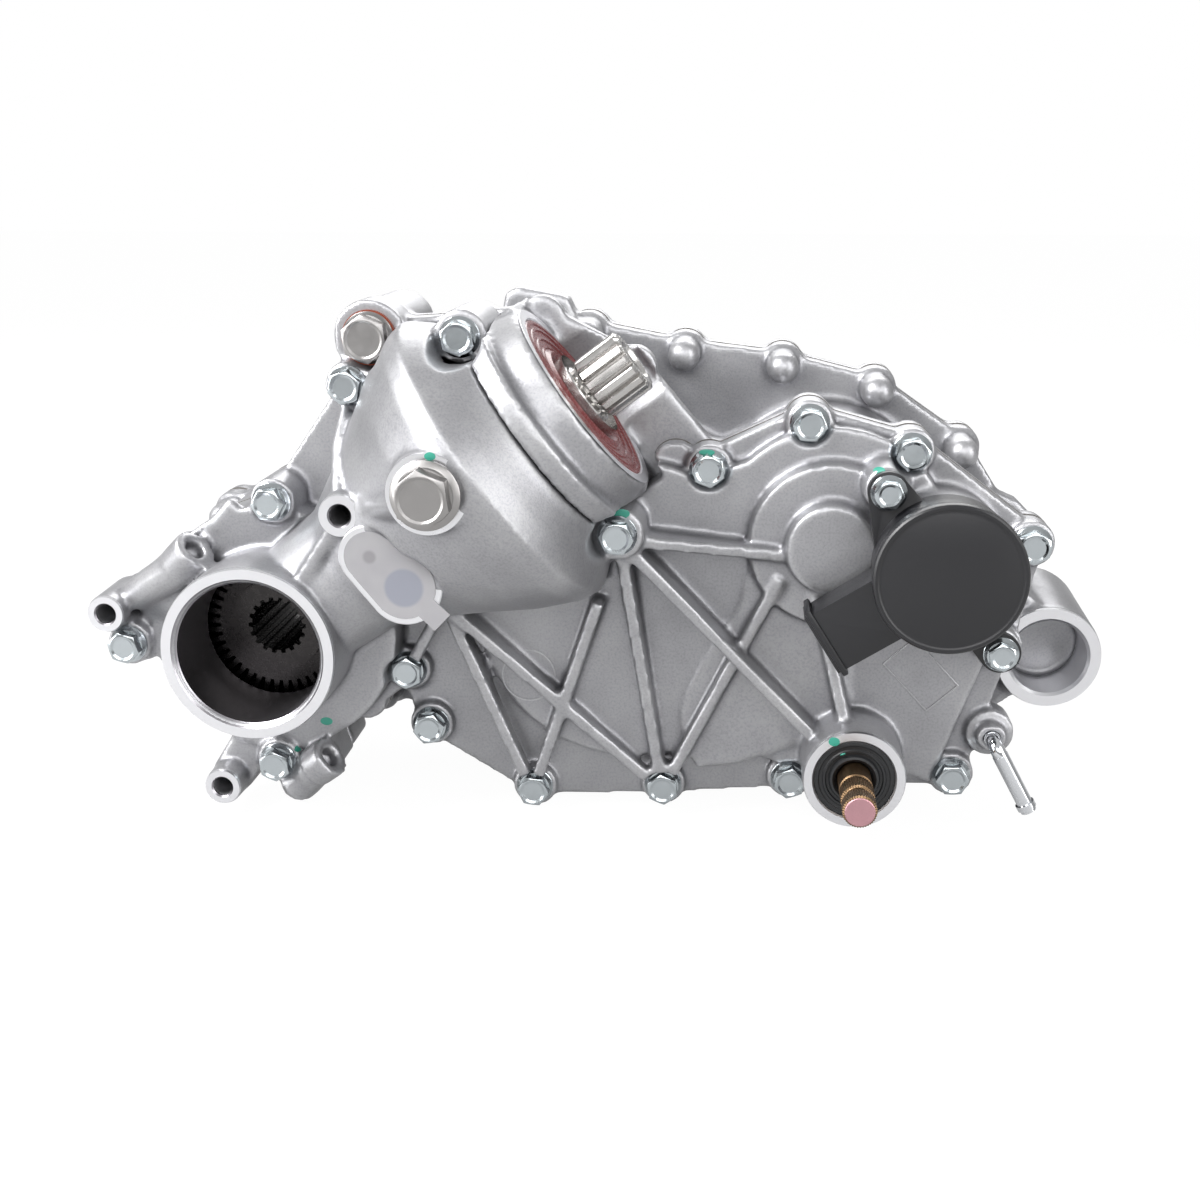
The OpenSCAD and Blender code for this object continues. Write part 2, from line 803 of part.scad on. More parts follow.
// Sheet gaskets between the castings
module front_gasket() {
    color("dimgray")
        difference() {
            union() {
                slab(0, gasket_t)
                    flange_2d(front_outline, 6, boss_r);
                slab(0, gasket_t)
                    gear_room_2d(wall);
                rod(axle, 0, gasket_t, crown_room_r + wall);
            }
            slab(-1, 1)
                gear_room_2d(0);
            rod(axle, -1, 1, crown_room_r);
            for (p = concat(edge_bolts, left_bolts))
                rod(p, -1, 1, bolt_r);
            for (p = [neck_high, neck_low])
                rod(p, -1, 1, bolt_r);
            for (p = dowels)
                rod(p, -1, 1, dowel_r);
            rod(side_p, -1, 1, side_bore_r + free_gap);
            bulge_room();
            on_output(groove_t - 9)
                cylinder(h = 10, r = neck_r, $fn = 96);
            neck_space();
        }
}

module rear_gasket() {
    color("dimgray")
        difference() {
            union() {
                slab(mid_depth, mid_depth + gasket_t)
                    flange_2d(rear_bolts_p, 5, boss_r);
                slab(mid_depth, mid_depth + gasket_t)
                    low_room_2d(wall);
                rod(axle, mid_depth, mid_depth + gasket_t, crown_room_r + wall);
            }
            slab(mid_depth - 1, mid_depth + 1)
                low_room_2d(0);
            slab(mid_depth - 1, mid_depth + 1)
                gear_room_2d(-4);
            rod(axle, mid_depth - 1, mid_depth + 1, crown_room_r);
            for (p = rear_bolts_p)
                rod(p, mid_depth - 1, mid_depth + 2, bolt_r);
        }
}

// Fasteners
module cover_bolts() {
    color("lightgray") {
        for (p = edge_bolts)
            flange_bolt(p, seat_y, 26);
        for (p = left_bolts)
            flange_bolt(p, left_seat_y, 42);
    }
}

module neck_bolts() {
    color("lightgray") {
        flange_bolt(neck_high, neck_seat_y, 54);
        flange_bolt(neck_low, neck_seat_y, 54);
    }
}

module rear_bolts() {
    color("lightgray")
        for (p = rear_bolts_p)
            translate([0, 2*(mid_depth + flange_t) , 0])
                mirror([0, 1, 0])
                    flange_bolt(p, mid_depth + flange_t, 26);
}

module sensor_bolts() {
    color("lightgray")
        for (p = [sensor_ear_low, sensor_ear_high])
            flange_bolt(p, sensor_seat_y, 16, sensor_bolt_r, 10, 7, 6.5);
}

module dowel_pins() {
    color("gray")
        for (p = dowels)
            rod(p, -7, 8, dowel_r);
}

module plug(p, y, flange_r, af, head_h, thread_r, thread_len) {
    rod(p, y - 2, y, flange_r);
    rod(p, y - head_h + 1, y - 2, af/sqrt(3), af/sqrt(3), 6);
    rod(p, y - head_h, y - head_h + 1, af/2 - 0.8, af/2);
    rod(p, y, y + thread_len, thread_r);
}

module fill_plug() {
    color("silver")
        plug(fill_p, fill_y - washer_t, fill_flange_r, 19, 10, fill_thread_r, 12);
}

module fill_plug_washer() {
    color("gray")
        ring(fill_p, fill_y - washer_t, fill_y, fill_thread_r, fill_flange_r - 0.5);
}

module level_plug() {
    color("silver")
        plug(level_plug_p, level_y - washer_t, level_flange_r, 17, 9, level_thread_r, 14);
}

module level_plug_washer() {
    color("sienna")
        ring(level_plug_p, level_y - washer_t, level_y, level_thread_r, level_flange_r + 0.5);
}

// Seals
module output_seal() {
    color("indianred")
        on_output(seal_t)
            difference() {
                rotate_extrude($fn = 96)
                    polygon([[collar_r + run_gap, 0.5], [seal_r, 0.5], [seal_r, 6], [seal_r - 3, 6],
                        [seal_r - 4, 5.2], [26, 4.6], [22, 5.4], [collar_r + run_gap, 4]]);
                translate([0, 0, -1])
                    cylinder(h = 2, r = 10);
            }
}

module shift_seal() {
    color("dimgray")
        translate([shift[0], shift_boss_y + 1, shift[1]])
            rotate([-90, 0, 0])
                rotate_extrude($fn = 96)
                    polygon([[shift_r + run_gap, 2.2], [9, 0], [11, 2], [14, 0.8], [seal_shift_r, 0.8],
                        [seal_shift_r, 6], [shift_r + run_gap, 6]]);
}

module input_seal() {
    color("dimgray")
        ring(input, bearing_y + bearing_w + 0.5, back_y, input_r + run_gap, 20);
}

module vent_pipe() {
    fall = atan2(vent_drop[1], vent_drop[0]);
    drop = norm(vent_drop);
    color("lightgray") {
        rod(vent_p, vent_y - 0.5, -10, vent_r);
        translate([vent_p[0], vent_y, vent_p[1]])
            rotate([0, -fall, 0])
                translate([vent_bend, 0, 0])
                    rotate([0, 0, 180])
                        rotate_extrude(angle = 90, $fn = 96)
                            translate([vent_bend, 0])
                                circle(r = vent_r - 0.2, $fn = 96);
        bar_towards(vent_p, vent_y - vent_bend, fall, vent_bend - 0.5, drop, vent_r);
        bar_towards(vent_p, vent_y - vent_bend, fall, drop - 4, drop - 1.5, vent_r + 0.7);
    }
}

// Protective film over the two ports
module port_film() {
    color("lightgray") {
        rod(port_small, film_y - film_t, film_y, 10);
        rod(port_large, film_y - film_t, film_y, 12.4);
        slab(film_y - film_t, film_y) {
            polygon(pad_sides);
            strap_2d(port_large, port_large + pad_dir*20, 4.5);
        }
    }
}

module position_sensor() {
    color("dimgray")
        difference() {
            union() {
                rod(rotor, -60, sensor_y, 28);
                rod(rotor, -62, -60, 25.5, 28);
                slab(sensor_seat_y, sensor_y) {
                    polygon([rotor + [-24, 12], rotor + [20, -22], sensor_ear_low + [7.5, -4],
                        sensor_ear_low + [-6, -5.5]]);
                    polygon([rotor + [-24, -14], sensor_ear_high + [-7.5, -3], sensor_ear_high + [6, 5],
                        rotor + [-8, 24]]);
                }
                rod(sensor_ear_low, sensor_seat_y, sensor_y, 8);
                rod(sensor_ear_high, sensor_seat_y, sensor_y, 8);
                slab(-54, sensor_y)
                    strap_2d(rotor, rotor + [-47, -30], 13);
            }
            slab(-52, sensor_y - 3)
                strap_2d(rotor + [-36, -23], rotor + [-49, -31.3], 11);
            rod(rotor, sensor_seat_y, sensor_y + 1, rotor_r + free_gap);
            rod(sensor_ear_low, -60, -36, sensor_bolt_r);
            rod(sensor_ear_high, -60, -36, sensor_bolt_r);
            for (p = [sensor_ear_low, sensor_ear_high])
                rod(p, -64, sensor_seat_y, 7.3);
        }
}

// Bearings: outer rings with their balls, fixed in the castings
module bearing_outer(r_in, r_out, w) {
    t = (r_out - r_in)*0.28;
    r_ball = (r_out - r_in)*0.22 - 0.1;
    r_mid = (r_in + r_out)/2;
    n = 9;
    difference() {
        cylinder(h = w, r = r_out, $fn = 96);
        translate([0, 0, -1])
            cylinder(h = w + 2, r = r_out - t, $fn = 96);
    }
    for (i = [0:n - 1])
        rotate([0, 0, i*360/n])
            translate([r_mid, 0, w/2])
                sphere(r = r_ball, $fn = 32);
}

module bearing_inner(r_in, r_out, w) {
    t = (r_out - r_in)*0.28;
    difference() {
        cylinder(h = w, r = r_in + t, $fn = 96);
        translate([0, 0, -1])
            cylinder(h = w + 2, r = r_in, $fn = 96);
    }
}

module along_y(p, y) {
    translate([p[0], y, p[1]])
        rotate([-90, 0, 0])
            children();
}

module input_bearings() {
    color("lightsteelblue") {
        along_y(input, nose_bearing_y)
            bearing_outer(input_nose_r, nose_bearing_r, nose_bearing_w);
        along_y(input, bearing_y)
            bearing_outer(input_r, bearing_r, bearing_w);
    }
}

module mid_bearings() {
    color("lightsteelblue") {
        along_y(mid, mid_bearing_y)
            bearing_outer(mid_nose_r, mid_bearing_r, bearing_w);
        along_y(mid, bearing_y)
            bearing_outer(mid_shaft_r, bearing_r, bearing_w);
    }
}

module cross_bearings() {
    color("lightsteelblue") {
        along_y(cross, web_y)
            bearing_outer(cross_shaft_r, bearing_r, bearing_w);
        along_y(cross, bearing_y)
            bearing_outer(cross_shaft_r, bearing_r, bearing_w);
    }
}

module output_bearings() {
    color("lightsteelblue") {
        on_output(out_rear_t)
            bearing_outer(out_r, out_rear_bearing_r, bearing_w);
        on_output(out_front_t)
            bearing_outer(out_front_r, out_front_bearing_r, bearing_w);
    }
}

module hub_bearings() {
    color("lightsteelblue") {
        along_y(axle, hub_bearing_y)
            bearing_outer(hub_r, hub_bearing_r, bearing_w);
        along_y(axle, hub_back_bearing_y)
            bearing_outer(hub_r, hub_bearing_r, bearing_w);
    }
}

module input_inner_rings() {
    color("lightsteelblue") {
        along_y(input, nose_bearing_y)
            bearing_inner(input_nose_r, nose_bearing_r, nose_bearing_w);
        along_y(input, bearing_y)
            bearing_inner(input_r, bearing_r, bearing_w);
    }
}

module mid_inner_rings() {
    color("lightsteelblue") {
        along_y(mid, mid_bearing_y)
            bearing_inner(mid_nose_r, mid_bearing_r, bearing_w);
        along_y(mid, bearing_y)
            bearing_inner(mid_shaft_r, bearing_r, bearing_w);
    }
}

module cross_inner_rings() {
    color("lightsteelblue") {
        along_y(cross, web_y)
            bearing_inner(cross_shaft_r, bearing_r, bearing_w);
        along_y(cross, bearing_y)
            bearing_inner(cross_shaft_r, bearing_r, bearing_w);
    }
}

module output_inner_rings() {
    color("lightsteelblue") {
        on_output(out_rear_t)
            bearing_inner(out_r, out_rear_bearing_r, bearing_w);
        on_output(out_front_t)
            bearing_inner(out_front_r, out_front_bearing_r, bearing_w);
    }
}

module hub_inner_rings() {
    color("lightsteelblue") {
        along_y(axle, hub_bearing_y)
            bearing_inner(hub_r, hub_bearing_r, bearing_w);
        along_y(axle, hub_back_bearing_y)
            bearing_inner(hub_r, hub_bearing_r, bearing_w);
    }
}

module input_shaft() {
    color("lightsteelblue") {
        rod(input, nose_bearing_y + 0.5, -8, input_nose_r);
        rod(input, -8, back_y + 2, input_r);
        rod(input, back_y + 2, 140, drive_nose_r);
        rod(input, 140, 141.5, drive_nose_r, drive_nose_r - 1.5);
        rod(input, 141.5, 158, 7);
    }
}

module input_high_pinion() {
    color("lightsteelblue")
        spur(input, z_high_in, high_y, gear_face + 2, input_r, input_to_mid);
}

module input_low_pinion() {
    color("lightsteelblue")
        spur(input, z_low_in, low_y, gear_face, input_r, input_to_mid);
}

module mid_shaft() {
    color("lightsteelblue") {
        rod(mid, mid_bearing_y, 5, mid_nose_r);
        rod(mid, 5, bearing_y + bearing_w, mid_shaft_r);
        rod(mid, 12, high_y - free_gap, 17);
    }
}

module mid_pinion() {
    color("lightsteelblue")
        spur(mid, z_mid, mid_pinion_y, gear_face, mid_shaft_r, mid_to_cross);
}

module high_gear() {
    color("lightsteelblue")
        difference() {
            spur(mid, z_high, high_y, gear_face, mid_shaft_r + run_gap, input_to_mid + 180 + 180/z_high);
            ring(mid, high_y + gear_face - 3.5, high_y + gear_face + 1, dog_at - 4, dog_at + 4);
            ring(mid, high_y - 1, high_y + 3, 22, high_r - 7);
        }
}

module low_gear() {
    color("lightsteelblue")
        difference() {
            spur(mid, z_low, low_y, gear_face, mid_shaft_r + run_gap, input_to_mid + 180 + 180/z_low);
            for (i = [0:3])
                rotate_about(mid, i*90)
                    rod(mid + [dog_at, 0], low_y - 1, low_y + 3.6, dog_r + 0.8);
            ring(mid, low_y + gear_face - 3, low_y + gear_face + 1, 22, low_r - 7);
        }
}

module rotate_about(p, a) {
    translate([p[0], 0, p[1]])
        rotate([0, a, 0])
            translate([-p[0], 0, -p[1]])
                children();
}

module clutch_hub() {
    color("lightsteelblue")
        difference() {
            union() {
                rod(mid, clutch_y - 6, clutch_y + 6, clutch_hub_r);
                for (i = [0:5])
                    rotate_about(mid, i*60)
                        slab(clutch_y - 6, clutch_y + 6)
                            translate(mid)
                                translate([clutch_hub_r - 2, -key_w/2])
                                    square([key_tip_r - clutch_hub_r + 2, key_w]);
            }
            rod(mid, clutch_y - 7, clutch_y + 7, mid_shaft_r);
        }
}

module clutch_sleeve() {
    half = sleeve_groove_w/2;
    color("lightsteelblue") {
        difference() {
            rod(mid, clutch_y - 3.5, clutch_y + 3.5, sleeve_r);
            rod(mid, clutch_y - 9, clutch_y + 9, clutch_hub_r + run_gap);
            for (i = [0:5])
                rotate_about(mid, i*60)
                    slab(clutch_y - 9, clutch_y + 9)
                        translate(mid)
                            translate([10, -key_w/2 - free_gap])
                                square([key_tip_r - 10 + free_gap, key_w + 2*free_gap]);
            ring(mid, clutch_y - half, clutch_y + half, sleeve_groove_r, sleeve_r + 1);
        }
        for (i = [0:3])
            rotate_about(mid, i*90) {
                rod(mid + [dog_at, 0], clutch_y - 3.5 - dog_h, clutch_y - 3.5, dog_r);
                rod(mid + [dog_at, 0], clutch_y + 3.5, clutch_y + 3.5 + dog_h, dog_r);
            }
    }
}

module cross_shaft() {
    color("lightsteelblue") {
        rod(cross, bevel_y - 14, bearing_y + bearing_w, cross_shaft_r);
        rod(cross, bevel_y, web_y, 17, 16);
    }
}

module cross_gear() {
    color("lightsteelblue")
        spur(cross, z_cross, mid_pinion_y, gear_face, cross_shaft_r, mid_to_cross + 180 + 180/z_cross);
}

module cross_bevel_pinion() {
    color("lightsteelblue")
        difference() {
            translate([cross[0], bevel_y, cross[1]])
                rotate([90, 0, 0])
                    mirror([0, 0, 1])
                        bevel_teeth(z_bevel_in, z_bevel, out_tilt, bevel_face);
            rod(cross, bevel_y - 20, bevel_y + 5, cross_shaft_r);
        }
}

module output_bevel_gear() {
    color("lightsteelblue")
        on_output(bevel_t)
            difference() {
                union() {
                    bevel_teeth(z_bevel, z_bevel_in, 90 + 180/z_bevel, bevel_face);
                    cylinder(h = 7, r = bevel_r - 5, $fn = 96);
                }
                translate([0, 0, -20])
                    cylinder(h = 40, r = out_front_r, $fn = 96);
            }
}

module output_shaft() {
    color("lightsteelblue")
        on_output(0)
            difference() {
                union() {
                    translate([0, 0, crown_t - 11.5])
                        cylinder(h = 78, r = out_r, $fn = 96);
                    translate([0, 0, 90])
                        cylinder(h = 71, r = out_front_r, $fn = 96);
                    translate([0, 0, seal_t - 1])
                        cylinder(h = collar_t - seal_t + 1, r = collar_r, $fn = 96);
                    crown_pinion();
                    output_spline();
                }
                translate([0, 0, tip_t - 14])
                    cylinder(h = 15, r = 5, $fn = 48);
            }
}

module crown_pinion() {
    translate([0, 0, crown_t])
        bevel_teeth(z_crown_in, z_crown, 90, 12);
}

module output_spline() {
    translate([0, 0, collar_t])
        linear_extrude(spline_len - 1.5)
            spline_2d(spline_r, 2.4, spline_teeth);
    translate([0, 0, collar_t])
        cylinder(h = spline_len, r = spline_r - 2.2, $fn = 64);
}

module spline_2d(r, depth, teeth) {
    step = 360/teeth;
    polygon([for (k = [0:teeth - 1], q = [[r - depth, -0.3], [r, -0.2], [r, 0.2], [r - depth, 0.3]])
        q[0]*[cos((k + q[1])*step), sin((k + q[1])*step)]]);
}

module axle_hub() {
    color("lightsteelblue")
        difference() {
            union() {
                rod(axle, hub_y, hub_back_bearing_y + bearing_w, hub_r);
                rod(axle, -4, 7.5, 26);
            }
            slab(-60, mid_depth + 30)
                spline_2d(hub_spline_r, 1.5, hub_teeth);
        }
}

module crown_wheel() {
    color("lightsteelblue")
        difference() {
            union() {
                translate([0, out_y + crown_in_r, 0])
                    rotate([90, 0, 0])
                        mirror([0, 0, 1])
                            bevel_teeth(z_crown, z_crown_in, out_tilt + 180/z_crown, 12);
                rod(axle, out_y + crown_in_r, -4, crown_r - 8);
                rod(axle, out_y + crown_in_r + 2.5, -4, crown_r - 1);
            }
            rod(axle, -40, 0, hub_r);
        }
}

// Shift mechanism: shaft, drum, fork on its rail, sensor drive and detent
module bar_towards(p, y, angle, r_from, r_to, r) {
    translate([p[0], y, p[1]])
        rotate([0, 90 - angle, 0])
            translate([0, 0, r_from])
                cylinder(h = r_to - r_from, r = r, $fn = 96);
}

module shift_shaft() {
    color("darkkhaki")
        difference() {
            union() {
                rod(shift, shift_tip_y + 1, shift_step_y, shift_r);
                rod(shift, shift_step_y, bearing_y - 2, shift_in_r);
                rod(shift, shift_tip_y, shift_tip_y + 1, shift_r - 1, shift_r);
            }
            ring(shift, shift_tip_y + 8, shift_tip_y + 11, shift_r - 1.2, shift_r + 2);
        }
}

module shift_drum() {
    color("lightsteelblue")
        difference() {
            rod(shift, drum_y - 13, drum_y + 17, drum_r);
            rod(shift, drum_y - 14, drum_y + 18, shift_in_r);
            for (a = [-shift_swing - 2:2:shift_swing + 2])
                rotate_about(shift, a)
                    bar_towards(shift, drum_y - groove_rise*a, rail_to_shift + 180,
                        drum_r - 3.8, drum_r + 2, pin_r + free_gap);
            for (a = [-shift_swing, 0, shift_swing])
                rotate_about(shift, a)
                    translate([shift[0], detent_y, shift[1] - drum_r - 1.4])
                        sphere(r = 2.4, $fn = 32);
        }
}

module sector_2d(z, r_hub, half, phase) {
    m = 2*sector_dist/(z_shift_sector + z_rotor_sector);
    intersection() {
        rotate(phase)
            polygon(gear_points(z, m));
        polygon([[0, 0], 80*[cos(half), sin(-half)], 80*[1.1, 0], 80*[cos(half), sin(half)]]);
    }
    circle(r = r_hub, $fn = 64);
}

module shift_sector() {
    color("lightsteelblue")
        difference() {
            slab(sector_y, sector_y + sector_t)
                translate(shift)
                    rotate(shift_to_rotor)
                        sector_2d(z_shift_sector, 11.5, shift_swing + 7, 0);
            rod(shift, sector_y - 1, sector_y + sector_t + 1, shift_in_r);
        }
}

module rotor_sector() {
    color("lightsteelblue") {
        slab(sector_y, sector_y + sector_t)
            translate(rotor)
                rotate(shift_to_rotor + 180)
                    sector_2d(z_rotor_sector, 10, shift_swing*z_shift_sector/z_rotor_sector + 5,
                        180/z_rotor_sector);
        rod(rotor, -40, sector_y, rotor_r);
    }
}

module fork_rail() {
    color("lightsteelblue")
        rod(rail, sector_y + 0.5, bearing_y - 2, rail_r);
}

module shift_fork() {
    color("lightsteelblue")
        difference() {
            union() {
                rod(rail, drum_y - 8, clutch_y + 3, 10);
                bar_towards(rail, drum_y, rail_to_shift, 8, rail_dist - drum_r + 3.2, pin_r);
                slab(clutch_y - sleeve_groove_w/2 + free_gap, clutch_y + sleeve_groove_w/2 - free_gap)
                    intersection() {
                        translate(mid)
                            circle(r = 38, $fn = 96);
                        translate(mid)
                            rotate(rail_to_mid + 180)
                                translate([0, -40])
                                    square([40, 80]);
                    }
                slab(clutch_y - 2.5, clutch_y + 2.5)
                    strap_2d(rail, mid + fork_reach, 7);
            }
            rod(mid, clutch_y - 3, clutch_y + 3, sleeve_groove_r + free_gap);
            rod(mid, clutch_y - 5, clutch_y - 1.3, sleeve_r + 1);
            rod(mid, clutch_y + 1.3, clutch_y + 5, sleeve_r + 1);
            rod(rail, drum_y - 9, clutch_y + 4, rail_r + run_gap);
        }
}

module detent_plunger() {
    color("lightsteelblue")
        translate([shift[0], detent_y, 0]) {
            translate([0, 0, detent_top - 6])
                cylinder(h = 4, r = detent_r - run_gap, $fn = 48);
            translate([0, 0, detent_top - 2])
                cylinder(h = 2, r1 = detent_r - run_gap, r2 = 2, $fn = 48);
        }
}

module detent_spring() {
    color("silver")
        translate([shift[0], detent_y, detent_top - 11.9])
            linear_extrude(5.8, twist = -360*4, slices = 72)
                translate([3, 0])
                    circle(r = 0.7, $fn = 8);
}

module detent_screw() {
    color("silver")
        difference() {
            translate([shift[0], detent_y, floor_z + 1.5])
                cylinder(h = detent_top - 12 - floor_z - 1.5, r = detent_r, $fn = 48);
            translate([shift[0], detent_y, floor_z])
                cylinder(h = 3.5, r = 2.5, $fn = 6);
        }
}

front_cover();
center_housing();
rear_cover();
front_gasket();
rear_gasket();
cover_bolts();
neck_bolts();
rear_bolts();
sensor_bolts();
dowel_pins();
fill_plug();
fill_plug_washer();
level_plug();
level_plug_washer();
output_seal();
shift_seal();
input_seal();
vent_pipe();
port_film();
position_sensor();
input_bearings();
mid_bearings();
cross_bearings();
output_bearings();
hub_bearings();
input_shaft();
input_inner_rings();
input_low_pinion();
input_high_pinion();
mid_shaft();
mid_inner_rings();
mid_pinion();
clutch_hub();
clutch_sleeve();
high_gear();
low_gear();
cross_shaft();
cross_inner_rings();
cross_gear();
cross_bevel_pinion();
output_shaft();
output_inner_rings();
output_bevel_gear();
axle_hub();
hub_inner_rings();
crown_wheel();
shift_shaft();
shift_drum();
shift_sector();
rotor_sector();
fork_rail();
shift_fork();
detent_plunger();
detent_spring();
detent_screw();
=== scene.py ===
# %% [markdown]
# # A low ratio gearbox in a white studio
#
# The gearbox comes in as measured solids, one for each real piece. This notebook gives
# them their surfaces: rounded, shot-blasted castings, turned rims, plated bolts, rubber
# seals and a black plastic sensor. Everything stays in the gearbox's own frame, with X to
# the right, Y away from the viewer and Z up. Blender works in metres and a maker in
# millimetres, so most sizes are written in millimetres and multiplied by MM.

# %% Load the gearbox
import math

import bmesh
import bpy
from mathutils import Matrix, Vector


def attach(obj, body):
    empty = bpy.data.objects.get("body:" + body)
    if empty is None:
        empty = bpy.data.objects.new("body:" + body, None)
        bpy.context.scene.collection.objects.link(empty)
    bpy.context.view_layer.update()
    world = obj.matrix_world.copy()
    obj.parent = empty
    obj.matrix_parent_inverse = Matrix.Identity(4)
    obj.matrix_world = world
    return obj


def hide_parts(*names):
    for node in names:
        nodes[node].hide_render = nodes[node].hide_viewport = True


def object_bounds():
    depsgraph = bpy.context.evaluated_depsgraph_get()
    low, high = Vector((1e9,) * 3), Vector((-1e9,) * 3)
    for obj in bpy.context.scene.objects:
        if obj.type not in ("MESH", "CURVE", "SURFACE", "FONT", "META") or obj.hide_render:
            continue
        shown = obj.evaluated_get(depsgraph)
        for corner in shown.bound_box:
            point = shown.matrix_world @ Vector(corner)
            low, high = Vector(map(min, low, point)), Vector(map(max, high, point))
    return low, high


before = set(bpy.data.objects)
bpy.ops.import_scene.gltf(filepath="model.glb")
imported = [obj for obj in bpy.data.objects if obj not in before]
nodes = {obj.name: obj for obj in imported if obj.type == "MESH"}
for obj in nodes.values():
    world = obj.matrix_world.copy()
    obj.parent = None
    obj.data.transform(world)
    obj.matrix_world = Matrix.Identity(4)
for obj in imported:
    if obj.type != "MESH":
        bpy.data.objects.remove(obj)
solid_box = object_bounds()
scene = bpy.context.scene
MM = 0.001
print("solids:", len(nodes), "box:", [list(map(float, corner)) for corner in solid_box])

# %% [markdown]
# The view is that of a long studio lens standing a little to the right of the gearbox and
# above it. Its place came from the round rims: the way a known circle flattens gives the
# viewing angle, and how near rims outgrow far ones gives the distance.

# %% Camera
CAMERA_AT = (194.26, -616.73, 187.35)
TO_THE_RIGHT = math.radians(5.38)
FROM_ABOVE = math.radians(16.07)
LENS_LENGTH, FILM_WIDTH, FARTHEST = 45, 36, 20

level = math.cos(FROM_ABOVE)
look = Vector((-math.sin(TO_THE_RIGHT) * level, math.cos(TO_THE_RIGHT) * level, -math.sin(FROM_ABOVE)))
side = Vector((math.cos(TO_THE_RIGHT), math.sin(TO_THE_RIGHT), 0))
above = side.cross(look)
lens = bpy.data.cameras.new("studio_lens")
lens.lens = LENS_LENGTH
lens.sensor_width = FILM_WIDTH
lens.clip_end = FARTHEST
camera = bpy.data.objects.new("studio_camera", lens)
camera.matrix_world = Matrix((side, above, -look)).transposed().to_4x4()
camera.location = Vector(CAMERA_AT) * MM
scene.collection.objects.link(camera)
scene.camera = camera
print("camera at", tuple(round(c, 3) for c in camera.location))

# %% [markdown]
# A material here is a small tree of shader nodes. Three helpers keep the trees readable:
# one turns a written colour into the linear numbers that a renderer works in, one adds a
# node, sets its values and joins its inputs, and one starts a material with the values
# that are the same all over its surface.

# %% Helpers for materials
def linear(code):
    """Linear colour with alpha from an sRGB hex code."""
    channels = [int(code[i:i + 2], 16) / 255 for i in (1, 3, 5)]
    return [c / 12.92 if c <= 0.04045 else ((c + 0.055) / 1.055) ** 2.4 for c in channels] + [1.0]


def add(tree, kind, settings=(), links=()):
    """One node with its settings, and with its inputs joined to other nodes' outputs.

    A key is a property of the node, an input's name or number, or "stops" for the
    (place, hex code) pairs of a colour ramp."""
    node = tree.nodes.new(kind)
    for key, value in dict(settings).items():
        if key == "stops":
            elements = node.color_ramp.elements
            while len(elements) < len(value):
                elements.new(0.5)
            for element, (place, code) in zip(elements, value):
                element.position = place
                element.color = linear(code)
        elif isinstance(key, str) and hasattr(node, key):
            setattr(node, key, value)
        else:
            node.inputs[key].default_value = value
    for key, source in dict(links).items():
        tree.links.new(source, node.inputs[key])
    return node


def new_material(name, colour, metallic, roughness):
    """A material with its plain values on the shader; returns it with its tree and shader."""
    material = bpy.data.materials.new(name)
    material.use_nodes = True
    tree = material.node_tree
    shader = tree.nodes["Principled BSDF"]
    shader.inputs["Base Color"].default_value = linear(colour)
    shader.inputs["Metallic"].default_value = metallic
    shader.inputs["Roughness"].default_value = roughness
    return material, tree, shader


# A Mix node has its inputs and outputs several times over, so these go by their numbers.
COLOUR_A, COLOUR_B, COLOUR_OUT = 6, 7, 2
NUMBER_A, NUMBER_B = 2, 3
print("material helpers ready")

# %% [markdown]
# The three housings are die-cast aluminium, shot-blasted after casting. Blasting leaves
# a fine, even grain of about half a millimetre, which spreads every highlight, and the
# metal keeps faint cloudy patches where the die was hotter. Half a millimetre wouldn't
# show, so the bumps are drawn at 0.7 mm and the specks at 1 mm. Edges get a painted
# highlight and grooves get painted shade, and the bend of the surface tells the two apart.

# %% Cast aluminium
# A noise pattern's scale is how many of its cells fit in a metre.
CLOUDS_33_MM, RIPPLES_8_MM, SPECKS_1_MM, GRAIN_07_MM = 30, 120, 1000, 1500
MULTIPLY = {"data_type": "RGBA", "blend_type": "MULTIPLY", "Factor": 1.0}


